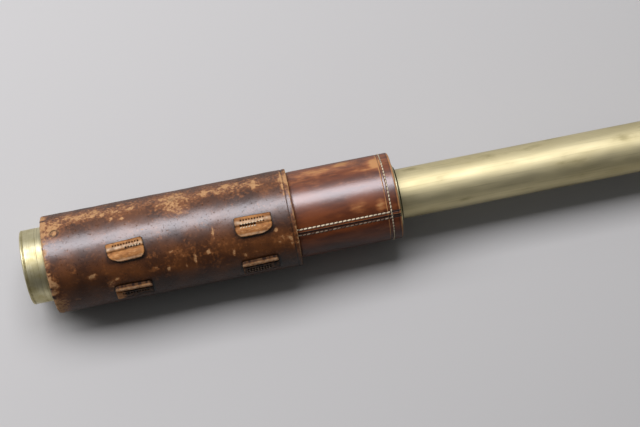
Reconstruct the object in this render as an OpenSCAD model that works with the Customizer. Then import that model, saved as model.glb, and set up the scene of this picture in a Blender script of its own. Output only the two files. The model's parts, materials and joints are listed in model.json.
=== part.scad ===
// Leather-covered brass draw telescope, with its sunshade back and its last draw pulled out.
// The optical axis is X: the objective's rim is at X = 0 and the eye looks in from +X. Z is up.

/* [Body] */
// Length of the brass body tube
body_len = 205.2; // [190:0.2:230]
// Wall of the body tube
body_wall = 1; // [0.7:0.05:1.2]
// Thickness of the leather on the body
leather_t = 3.2; // [2:0.1:3.6]
// Rounding of the leather's rear rim
rim_round = 1.2; // [0.6:0.1:1.6]
// Length of the bush in which draw 1 slides
end_bush_len = 22; // [16:1:28]
// Radial thickness of that bush
end_bush_wall = 1.7; // [1.4:0.1:2.6]
// Thickness of the flange that closes the body tube
end_flange_t = 1.4; // [1:0.1:2]
// Length of the brass band at the front end of the body
band_len = 6; // [4:0.5:8]
// Height of the seam above the horizontal, as the telescope lies
seam_angle = 52; // [20:0.5:70]
// Distance between the two rows of stitches along the seam
seam_rows = 3.9; // [3:0.2:6]
// Distance of the stitches round the hem from the rear rim
hem_w = 5.6; // [4:0.1:10]
// Width of each stitch channel
channel_w = 1; // [0.6:0.1:1.4]
// Depth of each stitch channel
channel_t = 0.3; // [0.2:0.05:0.35]
// How much thinner the leather is under the sunshade
worn_t = 0.3; // [0.2:0.05:0.5]
// Distance from the sunshade to where the leather has its full thickness
worn_gap = 0.8; // [0.5:0.1:2]

/* [Objective] */
// Length of the objective cell in front of the body tube
cell_len = 15; // [13:0.5:18]
// How far the cell's outside lies inside the tube's outside
cell_step = 0.4; // [0.3:0.05:0.5]
// Length of the cell's spigot inside the body tube
spigot_len = 8; // [5:0.5:9]
// Wall of the cell around the glass
spigot_wall = 1.05; // [0.8:0.05:1.3]
// Depth of the front lens behind the rim
glass_x = 7; // [5:0.1:8]
// Thickness of the lip that the front lens rests on
seat_t = 0.7; // [0.5:0.1:1]
// Width of that lip
seat_w = 1.3; // [0.8:0.1:2]
// Length of the rebate at the rear of the cell, under the sunshade's lip
rebate_len = 2; // [1.6:0.1:3]
// Depth of that rebate
rebate_t = 0.3; // [0.1:0.05:0.5]
// Width of the cell's front edge
front_edge_w = 1.3; // [0.8:0.1:1.5]
// Edge thickness of the crown lens
crown_edge = 2.2; // [1.8:0.1:2.8]
// Radius of curvature of the crown lens, front
crown_front_r = 180; // [160:5:260]
// Radius of curvature of the crown lens, back
crown_back_r = 130; // [110:5:200]
// Thickness of the flint lens on the axis
flint_t = 2.1; // [1.8:0.1:2.6]
// Length of the ring that holds both lenses
retainer_len = 3; // [2:0.2:4]
// Radial width of that ring
retainer_w = 2.1; // [1.5:0.1:3]

/* [Sunshade] */
// Length of the sunshade
shade_len = 147.4; // [140:0.2:150]
// Wall of the sunshade's brass tube
shade_wall = 0.8; // [0.6:0.05:1.2]
// Thickness of the sunshade's leather
shade_leather_t = 2.2; // [1.8:0.1:3]
// How far the leather stands out past the brass tube at each end
shade_tube_inset = 0.4; // [0.2:0.1:1]
// Thickness of the tube's turned-in front lip
shade_lip_t = 0.8; // [0.6:0.1:1.2]
// Radial distance of that lip from the objective cell
shade_lip_gap = 0.5; // [0.4:0.1:1]
// Radial thickness of the felt-lined rings that slide on the body
guide_t = 0.9; // [0.7:0.1:1.3]
// Length of each of those rings
guide_len = 10; // [6:1:14]
// How far the sunshade slides forward
shade_travel = 85; // [60:1:110]
// Rounding of the worn front rim of the leather
shade_front_round = 1.6; // [0.8:0.1:1.8]
// Rounding of the rear rim of the leather
shade_rear_round = 0.7; // [0.4:0.1:1.2]

/* [Strap keepers] */
// Length of each leather keeper tab
tab_len = 22; // [18:0.2:28]
// Width of each tab, round the sunshade
tab_w = 11.6; // [10:0.2:14]
// Thickness of the sewn part of a tab
tab_t = 1.5; // [1:0.1:2]
// Height of the cut end of the loop
tab_stub_t = 2.6; // [2:0.1:3.2]
// Width of the part that is sewn down
tab_sewn_w = 6.8; // [4.6:0.2:7.6]
// Corner radius of a tab
tab_corner = 3; // [2:0.2:4]
// Angle between the seam and the middle of each upper tab
tab_upper_angle = 23.5; // [20:0.5:32]
// Angle between the seam and the middle of each lower tab
tab_lower_angle = 30; // [20:0.5:32]
// Distance from the front rim to the middle of the front tabs
tab_front_x = 47.5; // [30:0.5:60]
// Distance from the rear rim to the middle of the rear tabs
tab_rear_x = 24.4; // [18:0.2:50]

/* [Draw tubes] */
// Outside diameter of draw 3, which carries the eyepiece
draw_3_d = 30; // [26:0.1:34]
// Wall of each draw tube
draw_wall = 0.7; // [0.5:0.05:1]
// Radial thickness of the bushes in which draws 2 and 3 slide
bush_wall = 1.7; // [1.4:0.1:2.6]
// Length of those bushes
bush_len = 20; // [14:1:28]
// Distance of draw 1 behind the objective cell, when it is pushed in
draw_1_front = 3.7; // [2:0.1:20]
// How far the front end of draw 2 lies behind that of draw 1
draw_2_front = 1.5; // [0:0.1:10]
// Distance of draw 3 behind the objective's retaining ring, when it is pushed in
draw_3_front = 6; // [2:0.1:20]
// Length of the stop ring around the front end of each draw
stop_len = 8; // [5:0.5:12]
// Thickness of the stop ring's lip in front of the draw
stop_lip = 1.5; // [1:0.1:1.6]
// How far the flange of draws 1 and 2 stands out from the draw
flange_lip = 1.1; // [0.8:0.1:1.6]
// Thickness of the flange of draw 1
flange_1_t = 1.4; // [1:0.1:2]
// Thickness of the wide step of the flange of draw 2
flange_2_t = 1.2; // [0.8:0.1:2]
// Thickness of the narrow step behind it
flange_step_t = 0.8; // [0.5:0.1:1.5]

/* [Erecting lenses] */
// Outside diameter of the tube that carries the two erecting lenses
erector_d = 20; // [18:0.2:23]
// Length of that tube
erector_len = 62; // [50:1:80]
// Wall of that tube
erector_wall = 0.8; // [0.6:0.05:1]
// Length of the screwed ring that holds the tube in draw 3
erector_mount_len = 8; // [5:0.5:12]
// Radius of curvature of the erecting lenses
erector_lens_r = 24; // [20:1:40]
// Diameter of the hole in the stop between them
erector_stop_d = 4; // [3:0.2:6]

/* [Eyepiece] */
// Outside diameter of the eyepiece mount's milled flange
mount_flange_d = 34.4; // [32.5:0.1:36]
// Thickness of that flange
mount_flange_t = 3; // [2:0.1:4]
// Length of the mount's sleeve inside draw 3
mount_sleeve_len = 18; // [12:1:24]
// Wall of the mount's sleeve
mount_wall = 1.5; // [1.2:0.1:1.8]
// Length of the tube that carries the eyepiece lenses
eye_tube_len = 45; // [40:1:60]
// Wall of that tube
eye_tube_wall = 0.75; // [0.6:0.05:1]
// How far that tube stands out into the eye cup
eye_tube_stick = 2.4; // [1.5:0.1:2.6]
// Radius of curvature of the field lens
field_lens_r = 32; // [28:1:50]
// Diameter of the hole in the field stop
field_stop_d = 14; // [10:0.5:16]
// Distance of the field stop from the field lens
field_stop_x = 20; // [16:1:24]
// Diameter of the eye lens
eye_lens_d = 12; // [10:0.2:14]
// Radius of curvature of the eye lens
eye_lens_r = 14; // [12:0.5:24]
// Edge thickness of the erecting and eyepiece lenses
small_edge = 1.6; // [1.2:0.1:2]
// Length of thin retaining rings and stops
thin_ring = 1.4; // [1:0.1:1.8]
// Radial width of the lips and rings that hold these lenses
lens_hold = 0.9; // [0.6:0.1:1.2]

/* [Eye cup and shutter] */
// Outside diameter of the eye cup
cup_d = 36; // [34:0.2:40]
// Height of the eye cup
cup_len = 10; // [9.6:0.2:14]
// Thickness of the plate around the eye hole
cup_plate_t = 3; // [2.5:0.1:3.4]
// Depth of the dish around the eye hole
cup_dish = 4.2; // [4:0.1:4.4]
// Width of the cup's rim
cup_rim_w = 2.6; // [1.8:0.1:2.8]
// Diameter of the eye hole
eye_hole_d = 7; // [5:0.2:7.2]
// Thickness of the shutter plate
shutter_t = 0.8; // [0.6:0.1:1]
// Overlap of the shutter past the edge of the eye hole
shutter_lap = 1; // [0.6:0.1:1.1]
// Distance of the shutter's pivot from the optical axis
pivot_r = 6.8; // [6.6:0.1:7.2]
// Angle by which the shutter stands open
shutter_open = 74; // [74:1:80]
// Radius of the shutter's lobe around the pivot
lobe_r = 2.6; // [2.2:0.1:3]
// Diameter of the pivot screw
pivot_d = 2; // [1.6:0.1:2.4]
// Diameter of the pivot screw's head
pivot_head_d = 3.8; // [3.2:0.1:4.2]
// Height of that head
pivot_head_t = 0.9; // [0.6:0.1:1.2]
// Diameter of the shutter's knob
knob_d = 2.2; // [1.8:0.1:2.6]
// Height of the knob
knob_h = 1.8; // [1.2:0.1:2.2]

/* [Fits] */
// Radial clearance of a tube that slides in its bush
slide_gap = 0.05; // [0.03:0.01:0.09]
// Radial clearance of a screwed or seated fit inside one assembly
seat_gap = 0.05; // [0.02:0.01:0.08]
// Radial clearance of a stop ring in the tube around it
stop_gap = 0.1; // [0.08:0.01:0.1]
// Radial clearance of the sunshade's rings on the leather, and of the band in the sunshade
guide_gap = 0.08; // [0.05:0.01:0.1]
// Gap between two flanges that close on each other
face_gap = 0.1; // [0.05:0.05:0.2]
// Play left before a stop at the end of a draw's travel
travel_play = 0.6; // [0.3:0.1:1]
// Air gap between the two objective lenses
lens_gap = 0.1; // [0.05:0.01:0.2]
// Gap on each side of the shutter plate
shutter_gap = 0.1; // [0.05:0.01:0.15]

/* [Hidden] */
$fn = 96;

// Radii, worked outwards from draw 3
draw_3_r = draw_3_d / 2;
draw_3_bore = draw_3_r - draw_wall;
bush_2_bore = draw_3_r + slide_gap;
draw_2_bore = bush_2_bore + bush_wall + seat_gap;
draw_2_r = draw_2_bore + draw_wall;
bush_1_bore = draw_2_r + slide_gap;
draw_1_bore = bush_1_bore + bush_wall + seat_gap;
draw_1_r = draw_1_bore + draw_wall;
bush_0_bore = draw_1_r + slide_gap;
body_bore = bush_0_bore + end_bush_wall + seat_gap;
body_r = body_bore + body_wall;
leather_r = body_r + leather_t;
guide_bore = leather_r - worn_t + guide_gap;
shade_bore = guide_bore + guide_t;
shade_tube_r = shade_bore + shade_wall;
shade_r = shade_tube_r + shade_leather_t;
band_r = shade_bore - guide_gap;
cell_r = body_r - cell_step;
shade_lip_r = cell_r + shade_lip_gap;
spigot_r = body_bore - seat_gap;
glass_bore = spigot_r - spigot_wall;
glass_r = glass_bore - seat_gap;

// Places of the body's parts along the axis
body_end_x = cell_len + body_len;
band_end_x = cell_len + band_len;
face_0_x = body_end_x + end_flange_t;

// Places of the objective's lenses
crown_x = glass_x + sag(crown_front_r, glass_r) - sag(crown_front_r, glass_bore - seat_w);
crown_back_x = crown_x + crown_edge;
flint_x = crown_back_x + lens_gap;
flint_back_x = flint_x + sag(crown_back_r, glass_r) + flint_t;

// Places of draws 1 and 2, pushed in
draw_1_x = cell_len + spigot_len + draw_1_front;
draw_1_end_x = face_0_x + face_gap;
face_1_x = draw_1_end_x + flange_1_t;
draw_2_x = draw_1_x + draw_2_front;
draw_2_end_x = face_1_x + face_gap;
face_2_x = draw_2_end_x + flange_2_t + flange_step_t;
leather_end_x = face_1_x;

// Place of draw 3, pulled out to its stop
draw_3_in_x = flint_back_x + retainer_len + draw_3_front;
draw_3_len = face_2_x + face_gap - draw_3_in_x;
draw_3_travel = draw_2_end_x - bush_len - travel_play - stop_len - draw_3_in_x;
draw_3_x = draw_3_in_x + draw_3_travel;
draw_3_end_x = draw_3_x + draw_3_len;

// Places of the sunshade's parts, pushed back
shade_tube_x = cell_len - face_gap - shade_lip_t;
shade_x = shade_tube_x - shade_tube_inset;
shade_end_x = shade_x + shade_len;
shade_tube_end_x = shade_end_x - shade_tube_inset;
front_guide_x = band_end_x + shade_travel + travel_play;
rear_guide_x = shade_tube_end_x - guide_len;

// Radii and places of the erecting lenses
erector_r = erector_d / 2;
erector_bore = erector_r - erector_wall;
erector_lens_edge_r = erector_bore - seat_gap;
erector_end_x = draw_3_x + erector_len;
erector_lip_x = thin_ring + small_edge
    + sag(erector_lens_r, erector_lens_edge_r) - sag(erector_lens_r, erector_lens_edge_r - lens_hold);

// Radii and places of the eyepiece
draw_3_seat_r = draw_3_bore - seat_gap;
eye_tube_r = draw_3_seat_r - mount_wall - seat_gap;
eye_tube_bore = eye_tube_r - eye_tube_wall;
eye_seat_r = eye_tube_bore - seat_gap;
cup_x = draw_3_end_x + mount_flange_t;
cup_end_x = cup_x + cup_len;
dish_x = cup_end_x - cup_dish;
eye_tube_end_x = cup_x + eye_tube_stick;
eye_tube_x = eye_tube_end_x - eye_tube_len;
field_x = eye_tube_x + 4;
field_back_x = field_x + small_edge;
field_ring_end_x = field_x - sag(field_lens_r, eye_seat_r) + sag(field_lens_r, eye_seat_r - lens_hold);
field_stop_front_x = field_back_x + field_stop_x;
eye_cell_len = 2 * thin_ring + small_edge;
eye_cell_x = eye_tube_end_x - eye_cell_len - 1;
eye_lens_edge_r = eye_lens_d / 2;
eye_lens_x = eye_cell_x + eye_cell_len - thin_ring - small_edge;
eye_ring_end_x = eye_lens_x
    - sag(eye_lens_r, eye_lens_edge_r) + sag(eye_lens_r, eye_lens_edge_r - lens_hold);

// Shutter
shutter_r = eye_hole_d / 2 + shutter_lap;
shutter_x = dish_x + shutter_gap;
shutter_end_x = shutter_x + shutter_t;

// Colours
brass = [0.72, 0.65, 0.40];
dull_brass = [0.58, 0.52, 0.33];
black_brass = [0.09, 0.085, 0.08];
brown = [0.31, 0.15, 0.08];
red_brown = [0.38, 0.16, 0.08];
tan_leather = [0.62, 0.40, 0.22];
felt_green = [0.16, 0.22, 0.17];
glass = [0.78, 0.85, 0.84];

// Height of a spherical cap with radius of curvature r over a circle of radius h
function sag(r, h) = r - sqrt(r * r - h * h);

// One face of a lens, from its axis to its edge at x; sign is -1 for a face that bulges towards -X
function lens_face(r, h, x, sign, n = 10) =
    [for (i = [0 : n]) [h * i / n, x + sign * (sag(r, h) - sag(r, h * i / n))]];

function reversed(list) = [for (i = [len(list) - 1 : -1 : 0]) list[i]];

// Arc of radius r about a centre [radius, x], from one angle to another
function arc(centre, r, from, to, n = 6) =
    [for (i = [0 : n]) let (a = from + (to - from) * i / n) centre + r * [cos(a), sin(a)]];

// Turns a closed outline of [radius, x] points about the X axis
module turned(outline) {
    rotate([0, 90, 0]) rotate_extrude() polygon(outline);
}

// Plain tube or ring along the X axis
module ring(outer, inner, x0, x1) {
    translate([x0, 0, 0]) rotate([0, 90, 0]) difference() {
        cylinder(r = outer, h = x1 - x0);
        translate([0, 0, -1]) cylinder(r = inner, h = x1 - x0 + 2);
    }
}

// Lens that bulges towards -X and is flat behind
module plano_lens(radius, x, edge, r) {
    color(glass) turned(concat(lens_face(r, radius, x, -1), [[radius, x + edge], [0, x + edge]]));
}

// Turns what points up (+Z) down to a height of a degrees above the horizontal at -Y
module at_height(a) {
    rotate([90 - a, 0, 0]) children();
}

// Objective
module objective_cell() {
    color(brass) turned([
        [cell_r - front_edge_w, 0], [cell_r, 0],
        [cell_r, cell_len - rebate_len], [cell_r - rebate_t, cell_len - rebate_len],
        [cell_r - rebate_t, cell_len], [spigot_r, cell_len],
        [spigot_r, cell_len + spigot_len], [glass_bore, cell_len + spigot_len],
        [glass_bore, glass_x], [glass_bore - seat_w, glass_x],
        [glass_bore - seat_w, glass_x - seat_t]]);
}

module crown_lens() {
    color(glass) turned(concat(
        lens_face(crown_front_r, glass_r, crown_x, -1),
        reversed(lens_face(crown_back_r, glass_r, crown_back_x, 1))));
}

module flint_lens() {
    color(glass) turned(concat(
        lens_face(crown_back_r, glass_r, flint_x, 1),
        [[glass_r, flint_back_x], [0, flint_back_x]]));
}

module objective_retainer() {
    slot_w = 1.6;
    color(black_brass) difference() {
        ring(glass_r, glass_r - retainer_w, flint_back_x, flint_back_x + retainer_len);
        translate([flint_back_x + retainer_len / 2, -slot_w / 2, -glass_r - 1])
            cube([retainer_len, slot_w, 2 * glass_r + 2]);
    }
}

// Body
module body_tube() {
    color(dull_brass) ring(body_r, body_bore, cell_len, body_end_x);
}

module body_front_band() {
    color(brass) ring(band_r, body_r, cell_len, band_end_x);
}

module body_leather() {
    hem_x = leather_end_x - hem_w;
    row_angle = seam_rows / leather_r * 90 / PI;
    worn_r = leather_r - worn_t;
    full_x = shade_end_x + worn_gap;
    color(red_brown) difference() {
        turned(concat(
            [[body_r, band_end_x], [worn_r, band_end_x], [worn_r, full_x], [leather_r, full_x],
             [leather_r, hem_x - channel_w / 2], [leather_r - channel_t, hem_x - channel_w / 2],
             [leather_r - channel_t, hem_x + channel_w / 2], [leather_r, hem_x + channel_w / 2]],
            arc([leather_r - rim_round, leather_end_x - rim_round], rim_round, 0, 90),
            [[body_r, leather_end_x]]));
        at_height(seam_angle) {
            for (side = [-1, 1])
                rotate([side * row_angle, 0, 0])
                    translate([band_end_x - 1, -channel_w / 2, leather_r - channel_t])
                        cube([leather_end_x - band_end_x + 2, channel_w, 1]);
            translate([band_end_x - 1, -0.15, leather_r - 0.6])
                cube([leather_end_x - band_end_x + 2, 0.3, 1]);
        }
    }
}

module body_end_collar() {
    color(brass) turned([
        [bush_0_bore, body_end_x - end_bush_len], [body_bore - seat_gap, body_end_x - end_bush_len],
        [body_bore - seat_gap, body_end_x], [body_r - seat_gap, body_end_x],
        [body_r - seat_gap, face_0_x], [bush_0_bore, face_0_x]]);
}

// Sunshade
module sunshade_tube() {
    color(dull_brass) turned([
        [shade_lip_r, shade_tube_x], [shade_tube_r, shade_tube_x],
        [shade_tube_r, shade_tube_end_x], [shade_bore, shade_tube_end_x],
        [shade_bore, shade_tube_x + shade_lip_t], [shade_lip_r, shade_tube_x + shade_lip_t]]);
}

module sunshade_leather() {
    color(brown) turned(concat(
        [[shade_tube_r, shade_x]],
        arc([shade_r - shade_front_round, shade_x + shade_front_round], shade_front_round, -90, 0),
        arc([shade_r - shade_rear_round, shade_end_x - shade_rear_round], shade_rear_round, 0, 90),
        [[shade_tube_r, shade_end_x]]));
}

module guide_ring(x) {
    color(felt_green) ring(shade_bore, guide_bore, x, x + guide_len);
}

module sunshade_front_guide() { guide_ring(front_guide_x); }
module sunshade_rear_guide() { guide_ring(rear_guide_x); }

// Keeper tab: what is left of a loop for a strap, sewn down on one side and cut off on the other
module keeper_tab(x, side) {
    half = tab_w / shade_r * 90 / PI;
    fold = half - tab_sewn_w / shade_r * 180 / PI;
    n = 6;
    section = concat(
        [for (i = [0 : 2 * n]) let (a = half - 2 * half * i / (2 * n)) shade_r * [sin(a), cos(a)]],
        [for (i = [0 : n]) let (a = -half + (half - fold) * i / n) (shade_r + tab_t) * [sin(a), cos(a)]],
        [for (i = [0 : n]) let (a = -fold + 2 + (half + fold - 2) * i / n)
            (shade_r + tab_stub_t) * [sin(a), cos(a)]]);
    corners = [for (corner = [0 : 3], i = [0 : n])
        let (a = 90 * (corner + i / n),
             sx = corner == 0 || corner == 3 ? 1 : -1,
             sy = corner < 2 ? 1 : -1)
        [sx * (tab_len / 2 - tab_corner) + tab_corner * cos(a),
         sy * (tab_w / 2 - tab_corner) + tab_corner * sin(a)]];
    turn = side > 0 ? tab_upper_angle : -tab_lower_angle;
    color(tan_leather) at_height(seam_angle + turn)
        translate([shade_x + x, 0, 0]) intersection() {
            rotate([90, 0, 90]) linear_extrude(tab_len, center = true)
                polygon([for (p = section) [-side * p[0], p[1]]]);
            linear_extrude(2 * shade_r) polygon(corners);
        }
}

module keeper_tab_front_upper() { keeper_tab(tab_front_x, 1); }
module keeper_tab_front_lower() { keeper_tab(tab_front_x, -1); }
module keeper_tab_rear_upper() { keeper_tab(shade_len - tab_rear_x, 1); }
module keeper_tab_rear_lower() { keeper_tab(shade_len - tab_rear_x, -1); }

// Draws
module draw_tube(r, bore, x0, x1) {
    color(brass) ring(r, bore, x0, x1);
}

// Ring around the front end of a draw, which meets the bush when the draw is pulled out
module stop_ring(r, draw_r, bore, x) {
    color(dull_brass) turned([
        [bore, x - stop_lip], [r, x - stop_lip], [r, x + stop_len],
        [draw_r + seat_gap, x + stop_len], [draw_r + seat_gap, x], [bore, x]]);
}

module draw_1_tube() { draw_tube(draw_1_r, draw_1_bore, draw_1_x, draw_1_end_x); }
module draw_1_stop_ring() { stop_ring(body_bore - stop_gap, draw_1_r, draw_1_bore, draw_1_x); }

module draw_1_collar() {
    bush_r = draw_1_bore - seat_gap;
    flange_r = draw_1_r + flange_lip;
    color(brass) turned([
        [bush_1_bore, draw_1_end_x - bush_len], [bush_r, draw_1_end_x - bush_len],
        [bush_r, draw_1_end_x], [flange_r, draw_1_end_x], [flange_r, face_1_x - 0.3],
        [flange_r - 0.3, face_1_x], [bush_1_bore, face_1_x]]);
}

module draw_2_tube() { draw_tube(draw_2_r, draw_2_bore, draw_2_x, draw_2_end_x); }
module draw_2_stop_ring() { stop_ring(draw_1_bore - stop_gap, draw_2_r, draw_2_bore, draw_2_x); }

module draw_2_collar() {
    bush_r = draw_2_bore - seat_gap;
    flange_r = draw_2_r + flange_lip;
    step_x = draw_2_end_x + flange_2_t;
    color(brass) turned([
        [bush_2_bore, draw_2_end_x - bush_len], [bush_r, draw_2_end_x - bush_len],
        [bush_r, draw_2_end_x], [flange_r, draw_2_end_x], [flange_r, step_x - 0.3],
        [flange_r - 0.3, step_x], [bush_r, step_x], [bush_r, face_2_x], [bush_2_bore, face_2_x]]);
}

module draw_3_tube() { draw_tube(draw_3_r, draw_3_bore, draw_3_x, draw_3_end_x); }
module draw_3_stop_ring() { stop_ring(draw_2_bore - stop_gap, draw_3_r, draw_3_bore, draw_3_x); }

// Erecting lenses
module erector_mount() {
    color(dull_brass) ring(draw_3_seat_r, erector_r, draw_3_x, draw_3_x + erector_mount_len);
}

module erector_tube() {
    lip_r = erector_lens_edge_r - lens_hold;
    lip = erector_lip_x;
    x1 = draw_3_x;
    x2 = erector_end_x;
    color(black_brass) turned([
        [erector_bore, x1], [erector_r, x1], [erector_r, x2], [erector_bore, x2],
        [erector_bore, x2 - lip], [lip_r, x2 - lip],
        [lip_r, x2 - lip - thin_ring], [erector_bore, x2 - lip - thin_ring],
        [erector_bore, x1 + lip + thin_ring], [lip_r, x1 + lip + thin_ring],
        [lip_r, x1 + lip], [erector_bore, x1 + lip]]);
}

module erector_stop() {
    mid = (draw_3_x + erector_end_x) / 2;
    color(black_brass) ring(erector_lens_edge_r, erector_stop_d / 2, mid, mid + thin_ring);
}

module erector_front_retainer() {
    color(black_brass)
        ring(erector_lens_edge_r, erector_lens_edge_r - lens_hold, draw_3_x, draw_3_x + thin_ring);
}

module erector_rear_retainer() {
    color(black_brass)
        ring(erector_lens_edge_r, erector_lens_edge_r - lens_hold, erector_end_x - thin_ring, erector_end_x);
}

module erector_front_lens() {
    x = draw_3_x + thin_ring;
    color(glass) turned(concat(
        [[0, x], [erector_lens_edge_r, x]],
        reversed(lens_face(erector_lens_r, erector_lens_edge_r, x + small_edge, 1))));
}

module erector_rear_lens() {
    plano_lens(erector_lens_edge_r, erector_end_x - thin_ring - small_edge, small_edge, erector_lens_r);
}

// Eyepiece
module eyepiece_mount() {
    bore = eye_tube_r + seat_gap;
    x = draw_3_end_x;
    flange_r = mount_flange_d / 2;
    notches = 36;
    color(brass) difference() {
        turned([
            [bore, x - mount_sleeve_len], [draw_3_seat_r, x - mount_sleeve_len],
            [draw_3_seat_r, x], [flange_r, x], [flange_r, cup_x], [bore, cup_x]]);
        for (i = [0 : notches - 1])
            rotate([i * 360 / notches, 0, 0])
                translate([x + 0.5, -0.5, flange_r - 0.3]) cube([mount_flange_t - 1, 1, 1]);
    }
}

module eyepiece_tube() {
    lip_r = eye_seat_r - lens_hold;
    color(black_brass) turned([
        [eye_tube_bore, eye_tube_x], [eye_tube_r, eye_tube_x],
        [eye_tube_r, eye_tube_end_x], [eye_tube_bore, eye_tube_end_x],
        [eye_tube_bore, field_back_x + thin_ring], [lip_r, field_back_x + thin_ring],
        [lip_r, field_back_x], [eye_tube_bore, field_back_x]]);
}

module field_lens() {
    plano_lens(eye_seat_r, field_x, small_edge, field_lens_r);
}

module field_lens_retainer() {
    color(black_brass)
        ring(eye_seat_r, eye_seat_r - lens_hold, field_ring_end_x - thin_ring, field_ring_end_x);
}

module field_stop() {
    color(black_brass)
        ring(eye_seat_r, field_stop_d / 2, field_stop_front_x, field_stop_front_x + thin_ring);
}

module eye_lens_cell() {
    bore = eye_lens_edge_r + seat_gap;
    end_x = eye_cell_x + eye_cell_len;
    color(black_brass) turned([
        [bore, eye_cell_x - 2], [eye_seat_r, eye_cell_x - 2], [eye_seat_r, end_x],
        [bore - lens_hold, end_x], [bore - lens_hold, end_x - thin_ring], [bore, end_x - thin_ring]]);
}

module eye_lens() {
    plano_lens(eye_lens_edge_r, eye_lens_x, small_edge, eye_lens_r);
}

module eye_lens_retainer() {
    color(black_brass)
        ring(eye_lens_edge_r, eye_lens_edge_r - lens_hold, eye_ring_end_x - thin_ring, eye_ring_end_x);
}

module eye_cup() {
    cup_r = cup_d / 2;
    recess_r = eye_tube_r + seat_gap;
    plate_x = dish_x - cup_plate_t;
    color(brass) difference() {
        turned(concat(
            [[recess_r, cup_x], [cup_r - 0.8, cup_x], [cup_r, cup_x + 0.8]],
            arc([cup_r - 1, cup_end_x - 1], 1, 0, 90),
            [[cup_r - cup_rim_w, cup_end_x], [cup_r - cup_rim_w, dish_x], [eye_hole_d / 2, dish_x],
             [eye_hole_d / 2, plate_x], [recess_r, plate_x]]));
        translate([dish_x - cup_plate_t / 2, -pivot_r, 0]) rotate([0, 90, 0])
            cylinder(d = pivot_d, h = cup_plate_t);
    }
}

module shutter_pivot() {
    head_x = shutter_end_x + shutter_gap;
    color(dull_brass) translate([0, -pivot_r, 0]) difference() {
        turned([
            [0, dish_x - cup_plate_t / 2], [pivot_d / 2, dish_x - cup_plate_t / 2],
            [pivot_d / 2, head_x], [pivot_head_d / 2, head_x],
            [pivot_head_d / 2, head_x + pivot_head_t], [0, head_x + pivot_head_t]]);
        translate([head_x + pivot_head_t / 2, -0.25, -pivot_head_d]) cube([2, 0.5, 2 * pivot_head_d]);
    }
}

// Puts what points along +Y from the pivot into the shutter's open position
module on_shutter() {
    translate([0, -pivot_r, 0]) rotate([-shutter_open, 0, 0]) children();
}

module eye_shutter() {
    a = acos((lobe_r - shutter_r) / pivot_r);
    sides = [for (s = [-1, 1]) [cos(a), s * sin(a)]];
    color(brass) on_shutter() translate([shutter_x, 0, 0]) rotate([90, 0, 90]) difference() {
        union() {
            cylinder(r = lobe_r, h = shutter_t);
            translate([pivot_r, 0, 0]) cylinder(r = shutter_r, h = shutter_t);
            linear_extrude(shutter_t) polygon([
                lobe_r * sides[0], [pivot_r, 0] + shutter_r * sides[0],
                [pivot_r, 0] + shutter_r * sides[1], lobe_r * sides[1]]);
        }
        translate([0, 0, -1]) cylinder(r = pivot_d / 2 + slide_gap, h = shutter_t + 2);
    }
}

module shutter_knob() {
    color(brass) on_shutter() translate([0, pivot_r + 1.6, 0]) turned([
        [0, shutter_end_x], [knob_d / 2 - 0.3, shutter_end_x], [knob_d / 2, shutter_end_x + knob_h - 0.6],
        [knob_d / 2 - 0.4, shutter_end_x + knob_h], [0, shutter_end_x + knob_h]]);
}

objective_cell();
crown_lens();
flint_lens();
objective_retainer();
body_tube();
body_front_band();
body_leather();
body_end_collar();
sunshade_tube();
sunshade_leather();
sunshade_front_guide();
sunshade_rear_guide();
keeper_tab_front_upper();
keeper_tab_front_lower();
keeper_tab_rear_upper();
keeper_tab_rear_lower();
draw_1_tube();
draw_1_collar();
draw_1_stop_ring();
draw_2_tube();
draw_2_collar();
draw_2_stop_ring();
draw_3_tube();
draw_3_stop_ring();
erector_mount();
erector_tube();
erector_stop();
erector_front_lens();
erector_front_retainer();
erector_rear_lens();
erector_rear_retainer();
eyepiece_mount();
eyepiece_tube();
field_lens();
field_lens_retainer();
field_stop();
eye_lens_cell();
eye_lens();
eye_lens_retainer();
eye_cup();
shutter_pivot();
eye_shutter();
shutter_knob();
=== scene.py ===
# %% [markdown]
# # A leather-covered brass telescope
# The imported model gives every piece its size and place. This script gives the pieces the look
# of old brass and old leather. It starts by loading that model, which stays as it is.

# %% Load the frame
import json
import math

import bmesh
import bpy
import numpy as np
from mathutils import Matrix, Vector, noise


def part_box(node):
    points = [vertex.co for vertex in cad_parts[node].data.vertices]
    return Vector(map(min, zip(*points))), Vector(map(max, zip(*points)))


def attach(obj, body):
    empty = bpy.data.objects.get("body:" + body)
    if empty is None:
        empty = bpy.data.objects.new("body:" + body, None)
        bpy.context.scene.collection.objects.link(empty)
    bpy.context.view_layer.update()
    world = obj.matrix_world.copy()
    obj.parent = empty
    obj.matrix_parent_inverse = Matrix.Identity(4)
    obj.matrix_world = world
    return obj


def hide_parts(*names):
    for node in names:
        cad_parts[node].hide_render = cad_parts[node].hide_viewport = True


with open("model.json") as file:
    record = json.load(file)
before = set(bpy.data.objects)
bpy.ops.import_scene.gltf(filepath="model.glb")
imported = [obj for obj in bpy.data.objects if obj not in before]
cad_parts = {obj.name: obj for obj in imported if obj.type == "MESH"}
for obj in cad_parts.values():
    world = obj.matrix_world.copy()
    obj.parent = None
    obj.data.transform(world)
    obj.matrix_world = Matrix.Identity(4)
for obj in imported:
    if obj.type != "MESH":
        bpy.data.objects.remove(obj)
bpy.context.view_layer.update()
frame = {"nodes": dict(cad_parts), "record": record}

scene = bpy.context.scene
print("nodes loaded:", len(frame["nodes"]))

# %% [markdown]
# ## Measures
# Old instruments are round, so two numbers say where a piece is: how far along the optical axis
# it lies, and how far from the axis. A third, the height, says where on the round a spot lies: 0 degrees
# is the horizon on the near side, 90 is straight up. All of them are in millimetres and degrees. The
# sizes are read from the frame and not typed again, so a changed model keeps its dressed pieces in place.

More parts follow.
